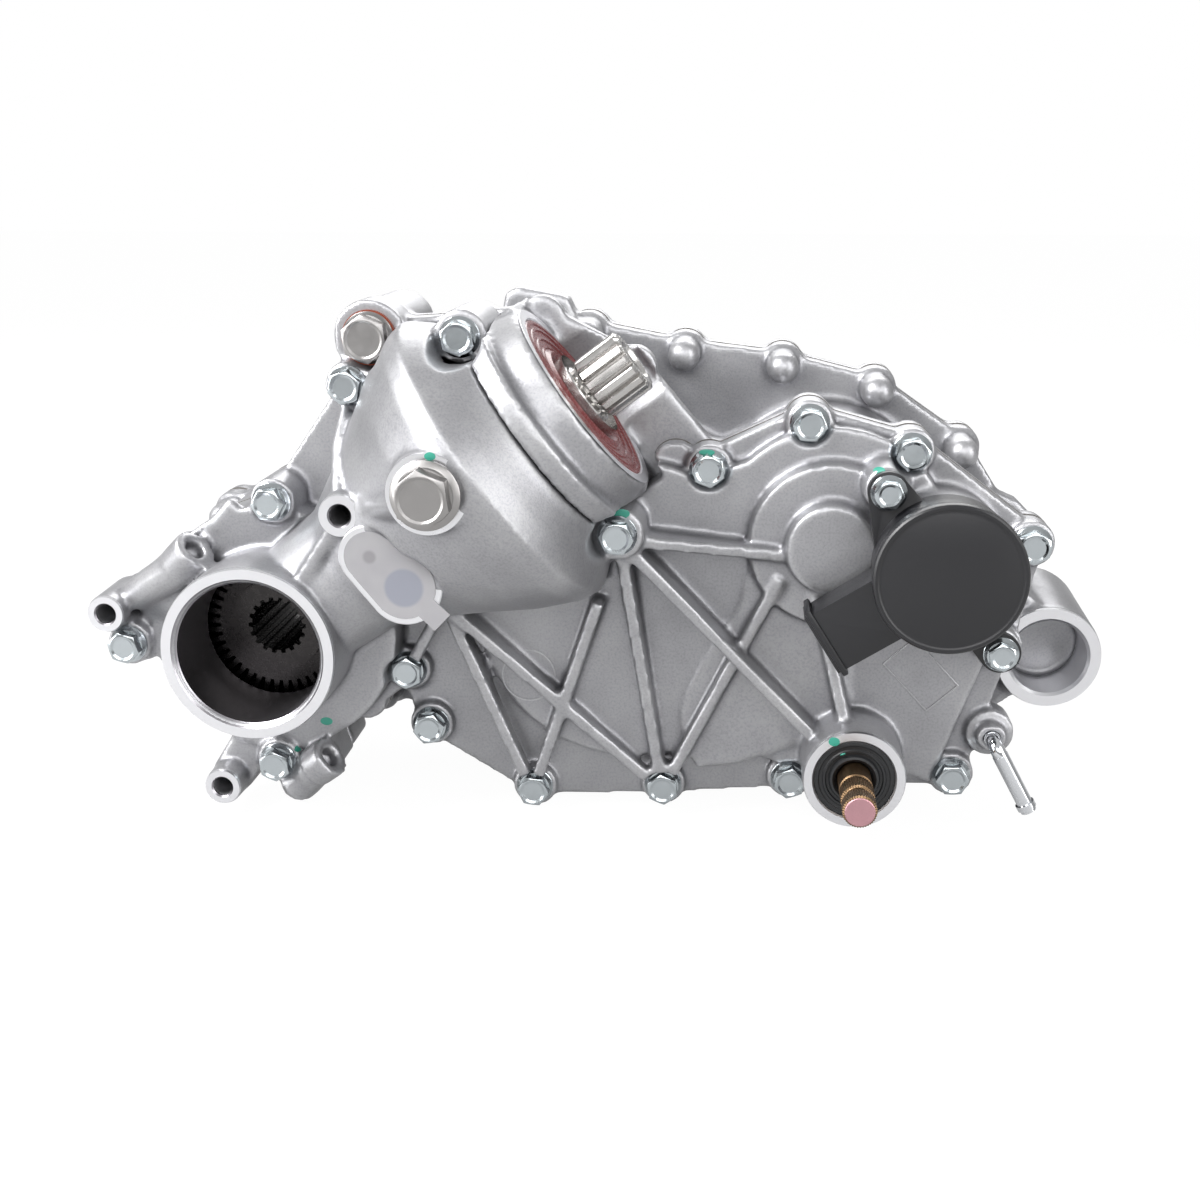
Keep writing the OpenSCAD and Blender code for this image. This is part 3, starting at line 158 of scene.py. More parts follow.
def cast_aluminium():
    """Cloudy, specked grey with a painted highlight on edges and painted shade in grooves, and two sizes of
    bumps.
    """
    material, tree, shader = new_material("shot_blasted_cast_aluminium", "#BDBDC0", 0.78, 0.42)
    place = add(tree, "ShaderNodeTexCoord").outputs["Object"]
    clouds, specks, grain, ripple = (
        add(tree, "ShaderNodeTexNoise", {"Scale": scale, "Detail": detail, "Roughness": rough},
            {"Vector": place}).outputs["Fac"]
        for scale, detail, rough in ((CLOUDS_33_MM, 4, 0.6), (SPECKS_1_MM, 2, 0.6),
                                     (GRAIN_07_MM, 2, 0.5), (RIPPLES_8_MM, 3, 0.5)))
    bend = add(tree, "ShaderNodeNewGeometry").outputs["Pointiness"]
    # The ramp on the bend is painted light: painted shade in grooves and a painted highlight on edges.
    tone, painted_edge_highlight_and_groove_shade, pitted = (
        add(tree, "ShaderNodeValToRGB", {"stops": stops}, {"Fac": source}).outputs["Color"]
        for source, stops in (
            (clouds, [(0.3, "#B3B3B6"), (0.5, "#BDBDC0"), (0.72, "#C6C6C8")]),
            (bend, [(0.42, "#77767A"), (0.49, "#D0D0D1"), (0.51, "#D8D8D8"), (0.57, "#F2F2F2")]),
            (specks, [(0.34, "#ECECED"), (0.5, "#FAFAFA"), (0.66, "#FFFFFF")])))
    clouds_and_painted_light = add(tree, "ShaderNodeMix", MULTIPLY, {COLOUR_A: tone, COLOUR_B: painted_edge_highlight_and_groove_shade}).outputs[COLOUR_OUT]
    blasted = add(tree, "ShaderNodeMix", MULTIPLY, {COLOUR_A: clouds_and_painted_light, COLOUR_B: pitted}).outputs[COLOUR_OUT]
    tree.links.new(blasted, shader.inputs["Base Color"])
    gloss = add(tree, "ShaderNodeMapRange", {"To Min": 0.34, "To Max": 0.48}, {"Value": clouds})
    tree.links.new(gloss.outputs["Result"], shader.inputs["Roughness"])
    wave = add(tree, "ShaderNodeBump", {"Strength": 0.25, "Distance": 0.0006}, {"Height": ripple})
    fine = add(tree, "ShaderNodeBump", {"Strength": 0.35, "Distance": 0.00014},
               {"Height": grain, "Normal": wave.outputs["Normal"]})
    tree.links.new(fine.outputs["Normal"], shader.inputs["Normal"])
    return material


CAST = cast_aluminium()
print("material", CAST.name)

# %% [markdown]
# Where another part fits, the casting is cut: the tube rims, the boss faces and the bolt
# seats. A turning or milling tool leaves brighter metal with very fine tool marks, which
# stretch a highlight but don't break it up. The marks are finer than a render shows, so
# they are drawn a millimetre apart, and the gloss wanders over patches of 17 mm.

# %% Machined aluminium
MARKS_1_MM, PATCHES_17_MM = 900, 60


def machined_aluminium():
    """Bright turned metal with fine marks and a gloss that wanders."""
    material, tree, shader = new_material("turned_aluminium_face", "#DDDDE0", 1.0, 0.3)
    place = add(tree, "ShaderNodeTexCoord").outputs["Object"]
    marks = add(tree, "ShaderNodeTexNoise", {"Scale": MARKS_1_MM, "Detail": 3, "Roughness": 0.7},
                {"Vector": place})
    patches = add(tree, "ShaderNodeTexNoise", {"Scale": PATCHES_17_MM, "Detail": 2}, {"Vector": place})
    gloss = add(tree, "ShaderNodeMapRange", {"To Min": 0.22, "To Max": 0.4}, {"Value": patches.outputs["Fac"]})
    tree.links.new(gloss.outputs["Result"], shader.inputs["Roughness"])
    bump = add(tree, "ShaderNodeBump", {"Strength": 0.15, "Distance": 0.0001}, {"Height": marks.outputs["Fac"]})
    tree.links.new(bump.outputs["Normal"], shader.inputs["Normal"])
    return material


MACHINED = machined_aluminium()
print("material", MACHINED.name)

# %% [markdown]
# The bolts are forged steel with bright zinc plating, and the other metals differ from
# them only in colour, in gloss and in the size of their handling marks. One recipe makes
# them all: a pattern of patches moves the roughness between two values and lifts the
# surface by a few hundredths of a millimetre.

# %% Plated and plain metals
def plain_metal(name, colour, low, high, scale, bump_height):
    """A metal whose gloss wanders between two roughness values over patches of one size.

    The patches are given as how many fit in a metre, the bump's height in metres."""
    material, tree, shader = new_material(name, colour, 1.0, (low + high) / 2)
    place = add(tree, "ShaderNodeTexCoord").outputs["Object"]
    wear = add(tree, "ShaderNodeTexNoise", {"Scale": scale, "Detail": 4, "Roughness": 0.65}, {"Vector": place})
    gloss = add(tree, "ShaderNodeMapRange", {"From Min": 0.3, "From Max": 0.7, "To Min": low, "To Max": high},
                {"Value": wear.outputs["Fac"]})
    tree.links.new(gloss.outputs["Result"], shader.inputs["Roughness"])
    bump = add(tree, "ShaderNodeBump", {"Strength": 0.2, "Distance": bump_height},
               {"Height": wear.outputs["Fac"]})
    tree.links.new(bump.outputs["Normal"], shader.inputs["Normal"])
    return material


# Bluish and bright: each flat of a bolt head mirrors one part of the studio.
ZINC = plain_metal("bright_zinc_plate", "#B2B8BB", 0.13, 0.26, 160, 0.00006)
# Warm grey and silky, without plating.
PLUG = plain_metal("satin_forged_aluminium", "#969493", 0.28, 0.42, 200, 0.00008)
# Soft red-brown, dulled by annealing.
COPPER = plain_metal("annealed_copper", "#9A5340", 0.3, 0.5, 400, 0.0001)
# Nearly a mirror.
CHROME = plain_metal("polished_nickel_chrome", "#D4D6D9", 0.06, 0.14, 300, 0.00002)
# Clean ground flanks with tight highlights.
STEEL = plain_metal("ground_gear_steel", "#C2C0BE", 0.18, 0.3, 150, 0.00003)
# Bearings and wheels inside the tube: an oil film keeps them glossy, and their dark colour is partly the oil
# and mostly painted shade of the dim inside of the tube.
SHADED_OILY_STEEL = plain_metal("oiled_bearing_steel", "#3B3939", 0.22, 0.36, 500, 0.00006)
# Brownish yellow, half matt.
YELLOW = plain_metal("yellow_passivated_zinc", "#6F5A44", 0.3, 0.5, 300, 0.0001)
# The dye takes most of the gloss.
PINK_END = plain_metal("pink_dyed_shaft_end", "#B98F95", 0.4, 0.55, 380, 0.0001)
# A film of oil fills the tool marks, so the wall is smooth; its darker colour is partly the oil and partly
# painted shade of the inside of the bore.
OILY_BORE_PAINTED_SHADE = plain_metal("shaded_oily_turned_bore", "#98969A", 0.28, 0.36, 350, 0.00001)
print("plain metals ready")

# %% [markdown]
# Rubber and plastic reflect only a weak, broad highlight over their own colour. The
# sensor's shell is glass-filled nylon, the small seal is nitrile rubber and the large one
# a brown fluoro-rubber. Between the castings lies a fibre gasket, and a tester's paint
# marks some bolts.

# %% Rubber, plastic, gasket and paint
def moulded(name, colour, roughness, scale, bump_height):
    """A non-metallic surface with a fine texture of one grain size."""
    material, tree, shader = new_material(name, colour, 0.0, roughness)
    place = add(tree, "ShaderNodeTexCoord").outputs["Object"]
    grain = add(tree, "ShaderNodeTexNoise", {"Scale": scale, "Detail": 2}, {"Vector": place})
    gloss = add(tree, "ShaderNodeMapRange", {"To Min": roughness - 0.06, "To Max": roughness + 0.08},
                {"Value": grain.outputs["Fac"]})
    tree.links.new(gloss.outputs["Result"], shader.inputs["Roughness"])
    bump = add(tree, "ShaderNodeBump", {"Strength": 0.3, "Distance": bump_height},
               {"Height": grain.outputs["Fac"]})
    tree.links.new(bump.outputs["Normal"], shader.inputs["Normal"])
    return material


# Black, from a finely eroded mould: a faint, even sheen.
NYLON = moulded("glass_filled_nylon", "#141417", 0.36, 1400, 0.00004)
# Black, a little softer in its texture than the nylon.
NITRILE = moulded("black_nitrile_rubber", "#17181A", 0.36, 900, 0.00006)
# Red-brown, from a polished mould, so its ridges shine.
FLUORO = moulded("brown_fluoro_rubber", "#6B2E2E", 0.26, 700, 0.00004)
# Grey and quite matt.
GASKET = moulded("fibre_gasket", "#5E5B58", 0.8, 600, 0.0001)
# Thick and half glossy.
PAINT = moulded("teal_witness_paint", "#2F8573", 0.35, 500, 0.0002)
print("moulded materials ready")

# %% [markdown]
# A frosted polythene film is stuck over the two oil ports, and the ports show through it
# as two soft darker discs. The film lies flat on its pad, so there is no hole behind it,
# and the shade inside each port is painted into the film's colour as a disc: the distance
# from a port's centre fades one colour into the other.

# %% Frosted film
# Each disc of painted port shade is (centre, radius, colour), and their edges fade over SOFT_EDGE, in metres.
PORT_SHADE_DISCS = (((0.054, -0.07, 0.044), 0.0026, "#767477"), ((0.067, -0.07, 0.032), 0.0076, "#757780"))
SOFT_EDGE = 0.0008


def frosted_film():
    """Milky film with the shade of the two ports under it painted on as soft discs."""
    material, tree, shader = new_material("frosted_polythene_film", "#8A898C", 0.0, 0.34)
    place = add(tree, "ShaderNodeTexCoord").outputs["Object"]
    cloudy = add(tree, "ShaderNodeTexNoise", {"Scale": 90}, {"Vector": place})
    colour = add(tree, "ShaderNodeValToRGB", {"stops": [(0.3, "#848386"), (0.7, "#8C8B8D")]},
                 {"Fac": cloudy.outputs["Fac"]}).outputs["Color"]
    for centre, radius, code in PORT_SHADE_DISCS:
        away = add(tree, "ShaderNodeVectorMath", {"operation": "DISTANCE", 1: centre}, {0: place})
        edge = add(tree, "ShaderNodeMapRange",
                   {"interpolation_type": "SMOOTHSTEP", "From Min": radius - SOFT_EDGE,
                    "From Max": radius + SOFT_EDGE}, {"Value": away.outputs["Value"]})
        mixed = add(tree, "ShaderNodeMix", {"data_type": "RGBA", COLOUR_A: linear(code)},
                    {"Factor": edge.outputs["Result"], COLOUR_B: colour})
        colour = mixed.outputs[COLOUR_OUT]
    tree.links.new(colour, shader.inputs["Base Color"])
    return material


FILM = frosted_film()
print("material", FILM.name)

# %% [markdown]
# # Pieces in their places
#
# A piece is drawn as a bmesh, Blender's editable mesh, and becomes an object at the end.
# Its place is in its mesh and the object stays at the origin, so that every pattern keeps
# its true size. The object rides on a body of the mechanism, takes the material it is given,
# and may stand for a measured solid, which is then hidden.

# %% A piece from a bmesh
WELD = 0.00001


def new_piece(name, bm, material, body="housing", node=None, smooth_below=40):
    """An object from a bmesh, smooth but for edges sharper than an angle in degrees."""
    limit = math.radians(smooth_below)
    for face in bm.faces:
        face.smooth = True
    for edge in bm.edges:
        edge.smooth = not (len(edge.link_faces) == 2 and edge.calc_face_angle(0) > limit)
    mesh = bpy.data.meshes.new(name)
    bm.to_mesh(mesh)
    bm.free()
    mesh.materials.append(material)
    piece = bpy.data.objects.new(name, mesh)
    scene.collection.objects.link(piece)
    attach(piece, body)
    if node:
        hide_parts(node)
    return piece


def merged_copy(node):
    """A bmesh with a copy of a solid, whose loose triangles are welded."""
    bm = bmesh.new()
    bm.from_mesh(nodes[node].data)
    bmesh.ops.remove_doubles(bm, verts=bm.verts, dist=WELD)
    return bm


def take(bm, part, place=Matrix()):
    """Moves a part's mesh into another bmesh."""
    part.transform(place)
    mesh = bpy.data.meshes.new("passing")
    part.to_mesh(mesh)
    part.free()
    bm.from_mesh(mesh)
    bpy.data.meshes.remove(mesh)


def points_in(geometry):
    """The points among what an operator made."""
    return [g for g in geometry if isinstance(g, bmesh.types.BMVert)]


def edges_in(geometry):
    """The edges among what an operator made."""
    return [g for g in geometry if isinstance(g, bmesh.types.BMEdge)]


print("solids to copy from:", len(nodes))

# %% [markdown]
# Rims, bolts, plugs and seals are bodies of revolution, so each one is drawn as half a
# section and spun round its axis. A small frame says where that axis stands and where it
# points: to the front, to the back, or along the output shaft, which is tilted and crosses
# the axle's line a little in front of the joint face.

# %% Frames and spun sections
OUTPUT_TILT = 37.2
OUTPUT_START = (0, -30 * MM, 0)
POLE, POLE_WELD = 0.001, 0.000002


def facing(place, y, ahead=-1):
    """Frame on an axis along Y, its own Z to the front (or to the back with ahead=1)."""
    columns = Matrix(((1, 0, 0), (0, 0, ahead), (0, -ahead, 0)))
    return Matrix.Translation(Vector((place[0], y, place[1])) * MM) @ columns.to_4x4()


def on_output(t):
    """Frame on the output shaft, t mm along it, its own Z along the shaft."""
    tilt = Matrix.Rotation(math.radians(90 - OUTPUT_TILT), 4, "Y")
    return Matrix.Translation(OUTPUT_START) @ tilt @ Matrix.Translation((0, 0, t * MM))


def spin(bm, section, place, steps=96):
    """Spins a section of (radius, height) in mm round a frame's Z, into the bmesh."""
    part = bmesh.new()
    points = [part.verts.new((max(r, POLE) * MM, 0, z * MM)) for r, z in section]
    edges = [part.edges.new(pair) for pair in zip(points, points[1:])]
    bmesh.ops.spin(part, geom=points + edges, cent=(0, 0, 0), axis=(0, 0, 1), dvec=(0, 0, 0),
                   angle=2 * math.pi, steps=steps, use_merge=True, use_duplicate=False)
    bmesh.ops.remove_doubles(part, verts=part.verts, dist=POLE_WELD)
    bmesh.ops.recalc_face_normals(part, faces=part.faces)
    take(bm, part, place)


print("output shaft points to", tuple(round(c, 2) for c in on_output(0).col[2][:3]))

# %% [markdown]
# # Castings with real radii
#
# A die needs draft and radii, so nothing cast has a sharp edge. The measured solids do,
# so each housing is copied, turned into a fine grid of voxels and smoothed: the grid
# fuses ribs, bosses and walls into one skin, and the smoothing rolls every corner to
# about two millimetres, in and out, as the die does. The pass that thins the mesh
# afterwards keeps the triangles where the surface bends.

# %% Helpers for castings
def apply_modifiers(piece, *steps):
    """Applies modifiers, each given as (kind, settings), to the piece's mesh."""
    for kind, settings in steps:
        modifier = piece.modifiers.new(kind.lower(), kind)
        for key, value in settings.items():
            setattr(modifier, key, value)
    graph = bpy.context.evaluated_depsgraph_get()
    done = bpy.data.meshes.new_from_object(piece.evaluated_get(graph))
    piece.modifiers.clear()
    old = piece.data
    piece.data = done
    bpy.data.meshes.remove(old)


def casting(name, node, voxel, rounds=6, keep=0.5, forms=lambda bm: None):
    """A rounded copy of a cast solid, with the forms that are fused to it; voxel is in mm."""
    bm = merged_copy(node)
    forms(bm)
    piece = new_piece(name, bm, CAST, node=node)
    apply_modifiers(
        piece,
        ("REMESH", {"mode": "VOXEL", "voxel_size": voxel * MM, "use_smooth_shade": True}),
        ("SMOOTH", {"factor": 0.5, "iterations": rounds}),
        ("DECIMATE", {"ratio": keep}),
    )
    for polygon in piece.data.polygons:
        polygon.use_smooth = True
    print(name, len(piece.data.polygons), "faces")
    return piece


# %% [markdown]
# Some small cast forms are built here and fused to the skin by the voxels. A web or a
# strut is the hull of a few balls, which gives it draft and round edges at once. A raised
# step is a flat outline pulled forward, and the drilled end of a lug is a spun tube.

# %% Shapes for webs, steps and lugs
BALL_DETAIL = 2
LUG_OUTER, LUG_INNER = 8.9, 4.4


def hull(bm, *balls):
    """Adds a web or strut to the bmesh: the hull of balls given as (x, y, z, radius) in mm."""
    part = bmesh.new()
    for x, y, z, radius in balls:
        bmesh.ops.create_icosphere(part, subdivisions=BALL_DETAIL, radius=radius * MM,
                                   matrix=Matrix.Translation(Vector((x, y, z)) * MM))
    bmesh.ops.convex_hull(part, input=part.verts)
    take(bm, part)


def plate(bm, outline, back, ahead):
    """Adds a flat plate with an outline of (x, z) points between two depths in mm."""
    part = bmesh.new()
    face = part.faces.new([part.verts.new(Vector((x, back, z)) * MM) for x, z in outline])
    grown = bmesh.ops.extrude_face_region(part, geom=[face])["geom"]
    bmesh.ops.translate(part, verts=points_in(grown), vec=(0, (ahead - back) * MM, 0))
    bmesh.ops.recalc_face_normals(part, faces=part.faces)
    take(bm, part)


def lug(bm, face, axis, length):
    """Adds the drilled end of a lug: a short thick tube that ends at a face centre given in mm."""
    turned_to = Vector(axis).to_track_quat("Z", "Y").to_matrix().to_4x4()
    section = [(LUG_INNER, -length), (LUG_OUTER, -length), (LUG_OUTER, 0), (LUG_INNER, 0),
               (LUG_INNER, -length)]
    spin(bm, section, Matrix.Translation(Vector(face) * MM) @ turned_to, 48)


print("lug wall", round(LUG_OUTER - LUG_INNER, 1), "mm")

# %% [markdown]
# The front cover carries a few forms that only its outside shows: a fin that runs from
# the upper bolt down to the threaded boss, a strut from that boss to the bevel housing,
# a small web under the level plug, and the raised, soft-edged part of the ribbed wall. Two
# heavy lugs stand on its left, each with a drilled hole that faces up and to the right.
# The numbers are places on the real cover in millimetres, and a ball's last one is its
# radius.

# %% The three housings
STEP = [(200.4, 35.7), (196.9, 14.3), (186.1, -4.3), (177.7, -19.1), (172.8, -34.0),
        (173.9, -48.9), (179.2, -59.3), (195.8, -57.2), (212.5, -50.7), (227.7, -42.4),
        (242.9, -26.2), (241.7, 0.0), (220.6, 16.6), (209.8, 33.4)]
STEP_BACK, STEP_FRONT = -16, -19.6


def front_forms(bm):
    """Adds the small cast forms of the front cover."""
    # Upper left lug: its drilled end, its arm, the web below and the wall behind the bore.
    lug(bm, (-26.6, -38, 37.4), (0.69, -0.26, 0.67), 13)
    hull(bm, (-36.6, -34.2, 27.8, 8.7), (-35, -18, 30, 8), (-57, -27, 14.5, 7.4), (-56, -16, 13, 7))
    hull(bm, (-57, -23, 14.5, 6.5), (-38, -27.5, 26.5, 6), (-37, -27, 9, 4.4), (-50, -21, 2, 5))
    hull(bm, (-29, -23.8, 35.6, 3.2), (-25.9, -23.8, 41.4, 3.2), (-12.6, -23.8, 49.5, 3.2),
         (-15.6, -23.8, 52.6, 3.2))
    # Lower left lug: its drilled end and its arm.
    lug(bm, (24.8, -35, -53.0), (0.77, -0.2, 0.6), 11)
    hull(bm, (15.0, -29.5, -61.6, 8.4), (6, -19.5, -71.4, 9.2), (14, -14, -62, 8), (6, -10, -70, 8))
    # The fin, in two lengths that bend at the bevel housing.
    hull(bm, (37, -27, 97, 2.6), (37, -14, 97, 2.6), (36.5, -44, 82, 2.6), (38, -20, 80, 2.6))
    hull(bm, (36.5, -44, 82, 2.6), (38, -20, 80, 2.6), (40, -60, 68.6, 2.8), (42, -24, 68, 2.8))
    # The strut from the threaded boss.
    hull(bm, (51, -62, 61.5, 4.6), (70, -84, 68, 5.6), (52, -52, 62, 4), (74, -70, 69, 6))
    # The web under the level plug.
    hull(bm, (55, -24, 114, 1.8), (58, -14, 110, 2.0), (64, -42, 101, 1.6), (64, -30, 100, 2.0))
    plate(bm, STEP, STEP_BACK, STEP_FRONT)


casting("front_cover_skin", "front_cover", 1.25, forms=front_forms)
centre = casting("centre_housing_skin", "center_housing", 1.5)
casting("rear_cover_skin", "rear_cover", 1.5)

# %% [markdown]
# Smoothing draws a small bore in a little. A spring-loaded plunger slides in one from below,
# so the wall of that bore is pushed back out until the plunger runs free in it.

# %% Room for the plunger
PLUNGER_AT = (244, 31)
PLUNGER_LOW, PLUNGER_HIGH, PLUNGER_ROOM = -77, -62, 5.8


def clear_bore(piece, place, low, high, radius):
    """Pushes the wall of an upright bore outwards, where it is closer than a radius in mm."""
    moved = 0
    for vert in piece.data.vertices:
        away = Vector((vert.co.x / MM - place[0], vert.co.y / MM - place[1]))
        if low < vert.co.z / MM < high and 0 < away.length < radius:
            away *= radius / away.length
            vert.co.x = (place[0] + away.x) * MM
            vert.co.y = (place[1] + away.y) * MM
            moved += 1
    print(piece.name, "bore cleared,", moved, "points moved")


clear_bore(centre, PLUNGER_AT, PLUNGER_LOW, PLUNGER_HIGH, PLUNGER_ROOM)

# %% [markdown]
# Most inner pieces, the washers, the gaskets and the vent pipe already have their real
# shape as solids, so they stay and only get their material. Some solids named here are
# replaced further down, and keep the right material in case they are shown alone.

# %% Materials of the pieces that keep their solids
FINISHES = {
    ZINC: ["cover_bolts", "neck_bolts", "rear_bolts", "sensor_bolts", "dowel_pins"],
    PLUG: ["fill_plug", "fill_plug_washer", "level_plug", "detent_screw"],
    COPPER: ["level_plug_washer"],
    CHROME: ["vent_pipe"],
    GASKET: ["front_gasket", "rear_gasket"],
    FLUORO: ["output_seal"],
    NITRILE: ["shift_seal", "input_seal"],
    NYLON: ["position_sensor"],
    YELLOW: ["shift_shaft"],
    FILM: ["port_film"],
    # The dark steel of the parts inside the tube is partly oil and mostly painted shade.
    SHADED_OILY_STEEL: ["axle_hub", "crown_wheel", "detent_spring"],
}
chosen = {name: material for material, names in FINISHES.items() for name in names}
for name, piece in nodes.items():
    for slot in piece.material_slots:
        slot.material = chosen.get(name, SHADED_OILY_STEEL if "bearing" in name or "ring" in name else STEEL)
print("materials on", len(nodes), "solids")

# %% [markdown]
# # Turned, forged and moulded pieces
#
# The cutter leaves each rim flat and its edges broken. The bright rings lie a tenth of a
# millimetre proud of the casting, so that they read as cut metal let into rough metal, and
# a thin liner does the same for the wall of each bore.

# %% Machined rims and bores
AXLE, SIDE_TUBE, SHIFT_AXIS, FILL_HOLE = (0, 0), (326.5, -11.5), (244, -51), (82, 74)
TOP_BOSS, LEFT_BOSS, LOW_BOSS = (42.3, 59.3), (-68, 8), (-23, -68)
PROUD, LINER = 0.12, 0.12


def turned(name, section, place, material, body="housing", node=None, steps=96):
    """A piece made of one spun section."""
    bm = bmesh.new()
    spin(bm, section, place, steps)
    return new_piece(name, bm, material, body, node, smooth_below=30)


def rim(name, place, inner, outer, depth, chamfer=0.6, bore=MACHINED):
    """Bright ring on a boss or tube, and a liner for its bore."""
    face = [(outer + 0.15, -0.9), (outer - 0.25, PROUD), (inner + chamfer, PROUD)]
    wall = [(inner + chamfer, PROUD), (inner, -chamfer), (inner, -depth), (inner + LINER, -depth),
            (inner + LINER, -chamfer - 0.4)]
    turned(name, face, place, MACHINED)
    turned(name + "_bore", wall, place, bore)


# The bores of the tube and the bosses take the oily bore finish, whose darker colour is partly painted shade.
rim("tube_rim", facing(AXLE, -62), 29.4, 35.6, 38, 2.0, OILY_BORE_PAINTED_SHADE)
rim("side_tube_rim", facing(SIDE_TUBE, 0.5), 16.0, 21.7, 24, 1.2)
rim("shift_boss_rim", facing(SHIFT_AXIS, -46), 16.5, 20.6, 3)
rim("boss_top_rim", facing(TOP_BOSS, -68), 4.2, 8.3, 14, bore=OILY_BORE_PAINTED_SHADE)
rim("boss_left_rim", facing(LEFT_BOSS, -38), 4.2, 7.7, 14, bore=OILY_BORE_PAINTED_SHADE)
rim("boss_low_rim", facing(LOW_BOSS, -38), 4.2, 7.7, 14, bore=OILY_BORE_PAINTED_SHADE)
rim("rear_tube_rim", facing(AXLE, 112, 1), 29.4, 35.6, 30, 0.8)
turned("neck_rim", [(41.6, 0), (41.4, 0.15), (37.6, 0.15), (37.0, -0.4), (37.0, -5)], on_output(167),
       MACHINED)
seat = turned("fill_seat", [(15.3, -0.6), (15.1, 0.1), (9.2, 0.1)], facing(FILL_HOLE, -94), MACHINED)
print("rims done, fill seat faces:", len(seat.data.polygons))

# %% [markdown]
# Two oil ports open in a pill-shaped pad that is milled flat. Only its edge shows, as a
# bright line round the film that covers the ports. The pad is the hull of four rings, two
# round each port, and the front ring is smaller, which breaks the edge.

# %% Ported pad under the film
PORTS = (((54, 44), 10.5), ((67, 32), 13.0))
PAD_BACK, PAD_FRONT, PAD_MARGIN, PAD_CHAMFER = -69.0, -70.1, 1.9, 0.4

bm = bmesh.new()
for place, radius in PORTS:
    wide = radius + PAD_MARGIN
    for y, size in ((PAD_BACK, wide), (PAD_FRONT + PAD_CHAMFER, wide), (PAD_FRONT, wide - PAD_CHAMFER)):
        bmesh.ops.create_circle(bm, segments=72, radius=size * MM, matrix=facing(place, y))
bmesh.ops.convex_hull(bm, input=bm.verts)
bmesh.ops.dissolve_limit(bm, angle_limit=0.01, verts=bm.verts, edges=bm.edges)
pad = new_piece("port_pad_face", bm, MACHINED, smooth_below=25)
print("pad faces:", len(pad.data.polygons))

# %% [markdown]
# A flange bolt is forged in one blow: a hexagon over a conical collar. The corner arcs on
# its flats come from a cone that trims the hexagon's top, so each point of the top edge
# is lowered by as much as it lies outside that cone. A shallow dish in the top is what
# the punch leaves.

# %% The shape of a flange bolt
FLAT_CUTS, TRIM, SLOPE, DISH = 7, 0.94, 0.55, 0.5
COLLAR_HEIGHT, SHANK, SHANK_LENGTH = 1.5, 4.0, 12.0


def hexagon(bm, place, flats, low, high):
    """Hexagon with a trimmed and dished top, from low to high over the frame's origin, in mm."""
    part = bmesh.new()
    bmesh.ops.create_circle(part, segments=6, radius=flats / math.sqrt(3) * MM)
    bmesh.ops.translate(part, verts=part.verts, vec=(0, 0, low * MM))
    bmesh.ops.subdivide_edges(part, edges=part.edges, cuts=FLAT_CUTS)
    top = points_in(bmesh.ops.extrude_edge_only(part, edges=part.edges)["geom"])
    flat = flats / 2 * TRIM
    for vert in top:
        reach = math.hypot(vert.co.x, vert.co.y) / MM
        vert.co.z = (high - max(0.0, reach - flat) * SLOPE) * MM
    edges = [e for e in part.edges if all(v in top for v in e.verts)]
    for radius, height in ((flat, high), (flat - 0.5, high + 0.02), (flat - 1.4, high - DISH)):
        raised = bmesh.ops.extrude_edge_only(part, edges=edges)["geom"]
        edges = edges_in(raised)
        for vert in points_in(raised):
            shrink = radius * MM / math.hypot(vert.co.x, vert.co.y)
            vert.co.x *= shrink
            vert.co.y *= shrink
            vert.co.z = height * MM
    bmesh.ops.edgeloop_fill(part, edges=edges)
    bmesh.ops.recalc_face_normals(part, faces=part.faces)
    take(bm, part, place)


def flange_head(bm, place, collar, flats, height):
    """Flange bolt or plug standing on its seat, its head up the frame's Z."""
    neck = flats / 2 + 0.7
    section = [(SHANK - 0.3, -SHANK_LENGTH), (SHANK, -SHANK_LENGTH + 0.5), (SHANK, 0), (collar - 0.2, 0),
               (collar, 0.25), (collar, COLLAR_HEIGHT - 0.3), (collar - 0.35, COLLAR_HEIGHT),
               (neck + 0.5, COLLAR_HEIGHT + 0.9), (neck, COLLAR_HEIGHT + 1.6),
               (neck - 1.6, COLLAR_HEIGHT + 1.9)]
    spin(bm, section, place, 64)
    hexagon(bm, place, flats, COLLAR_HEIGHT, height)


print("trimmed to", TRIM, "of the flats")

# %% [markdown]
# A wrench stops each bolt at its own angle, so no two neighbours mirror the light alike.
# All bolts of a kind are one piece, as they are one kind in the parts list.

# %% Bolts and plugs
# Collar radius, width across the flats and head height of each kind, in mm.
M8, M6, FILL, LEVEL = (8.0, 12.0, 7.9), (7.0, 10.0, 6.4), (13.0, 19.0, 9.9), (10.5, 17.0, 8.9)
FIRST_ANGLE, NEXT_ANGLE = 8, 17
SENSOR_BOLTS = {"low": (299, 3), "high": (252, 67)}
EDGE = [(182, 70), (222, 89), (263, 78), (313, 41), (303.4, -2.8), (287, -60), (219, -64), (165, -69),
        (109, -72), (64, -45), (55, -20)]
LEFT = [(-62, -7), (4, 56), (38, 104), (0, -58)]
REAR = [(-42, 32), (8, 62), (46, 116), (126, 117), (169, 109), (212, 104), (253, 94), (291, 68),
        (316, 30), (312, -30), (288, -62), (226, -68), (160, -71), (96, -70), (30, -52), (-42, -34)]
SEATS = {
    "cover_bolts": [facing(p, -14) for p in EDGE] + [facing(p, -30) for p in LEFT],
    "neck_bolts": [facing((86, 125), -42), facing((147, 48), -42)],
    "rear_bolts": [facing(p, 74, 1) for p in REAR],
    "sensor_bolts": [facing(p, -41) for p in SENSOR_BOLTS.values()],
    "fill_plug": [facing(FILL_HOLE, -95.5)],
    "level_plug": [facing((45, 122), -21.5)],
}


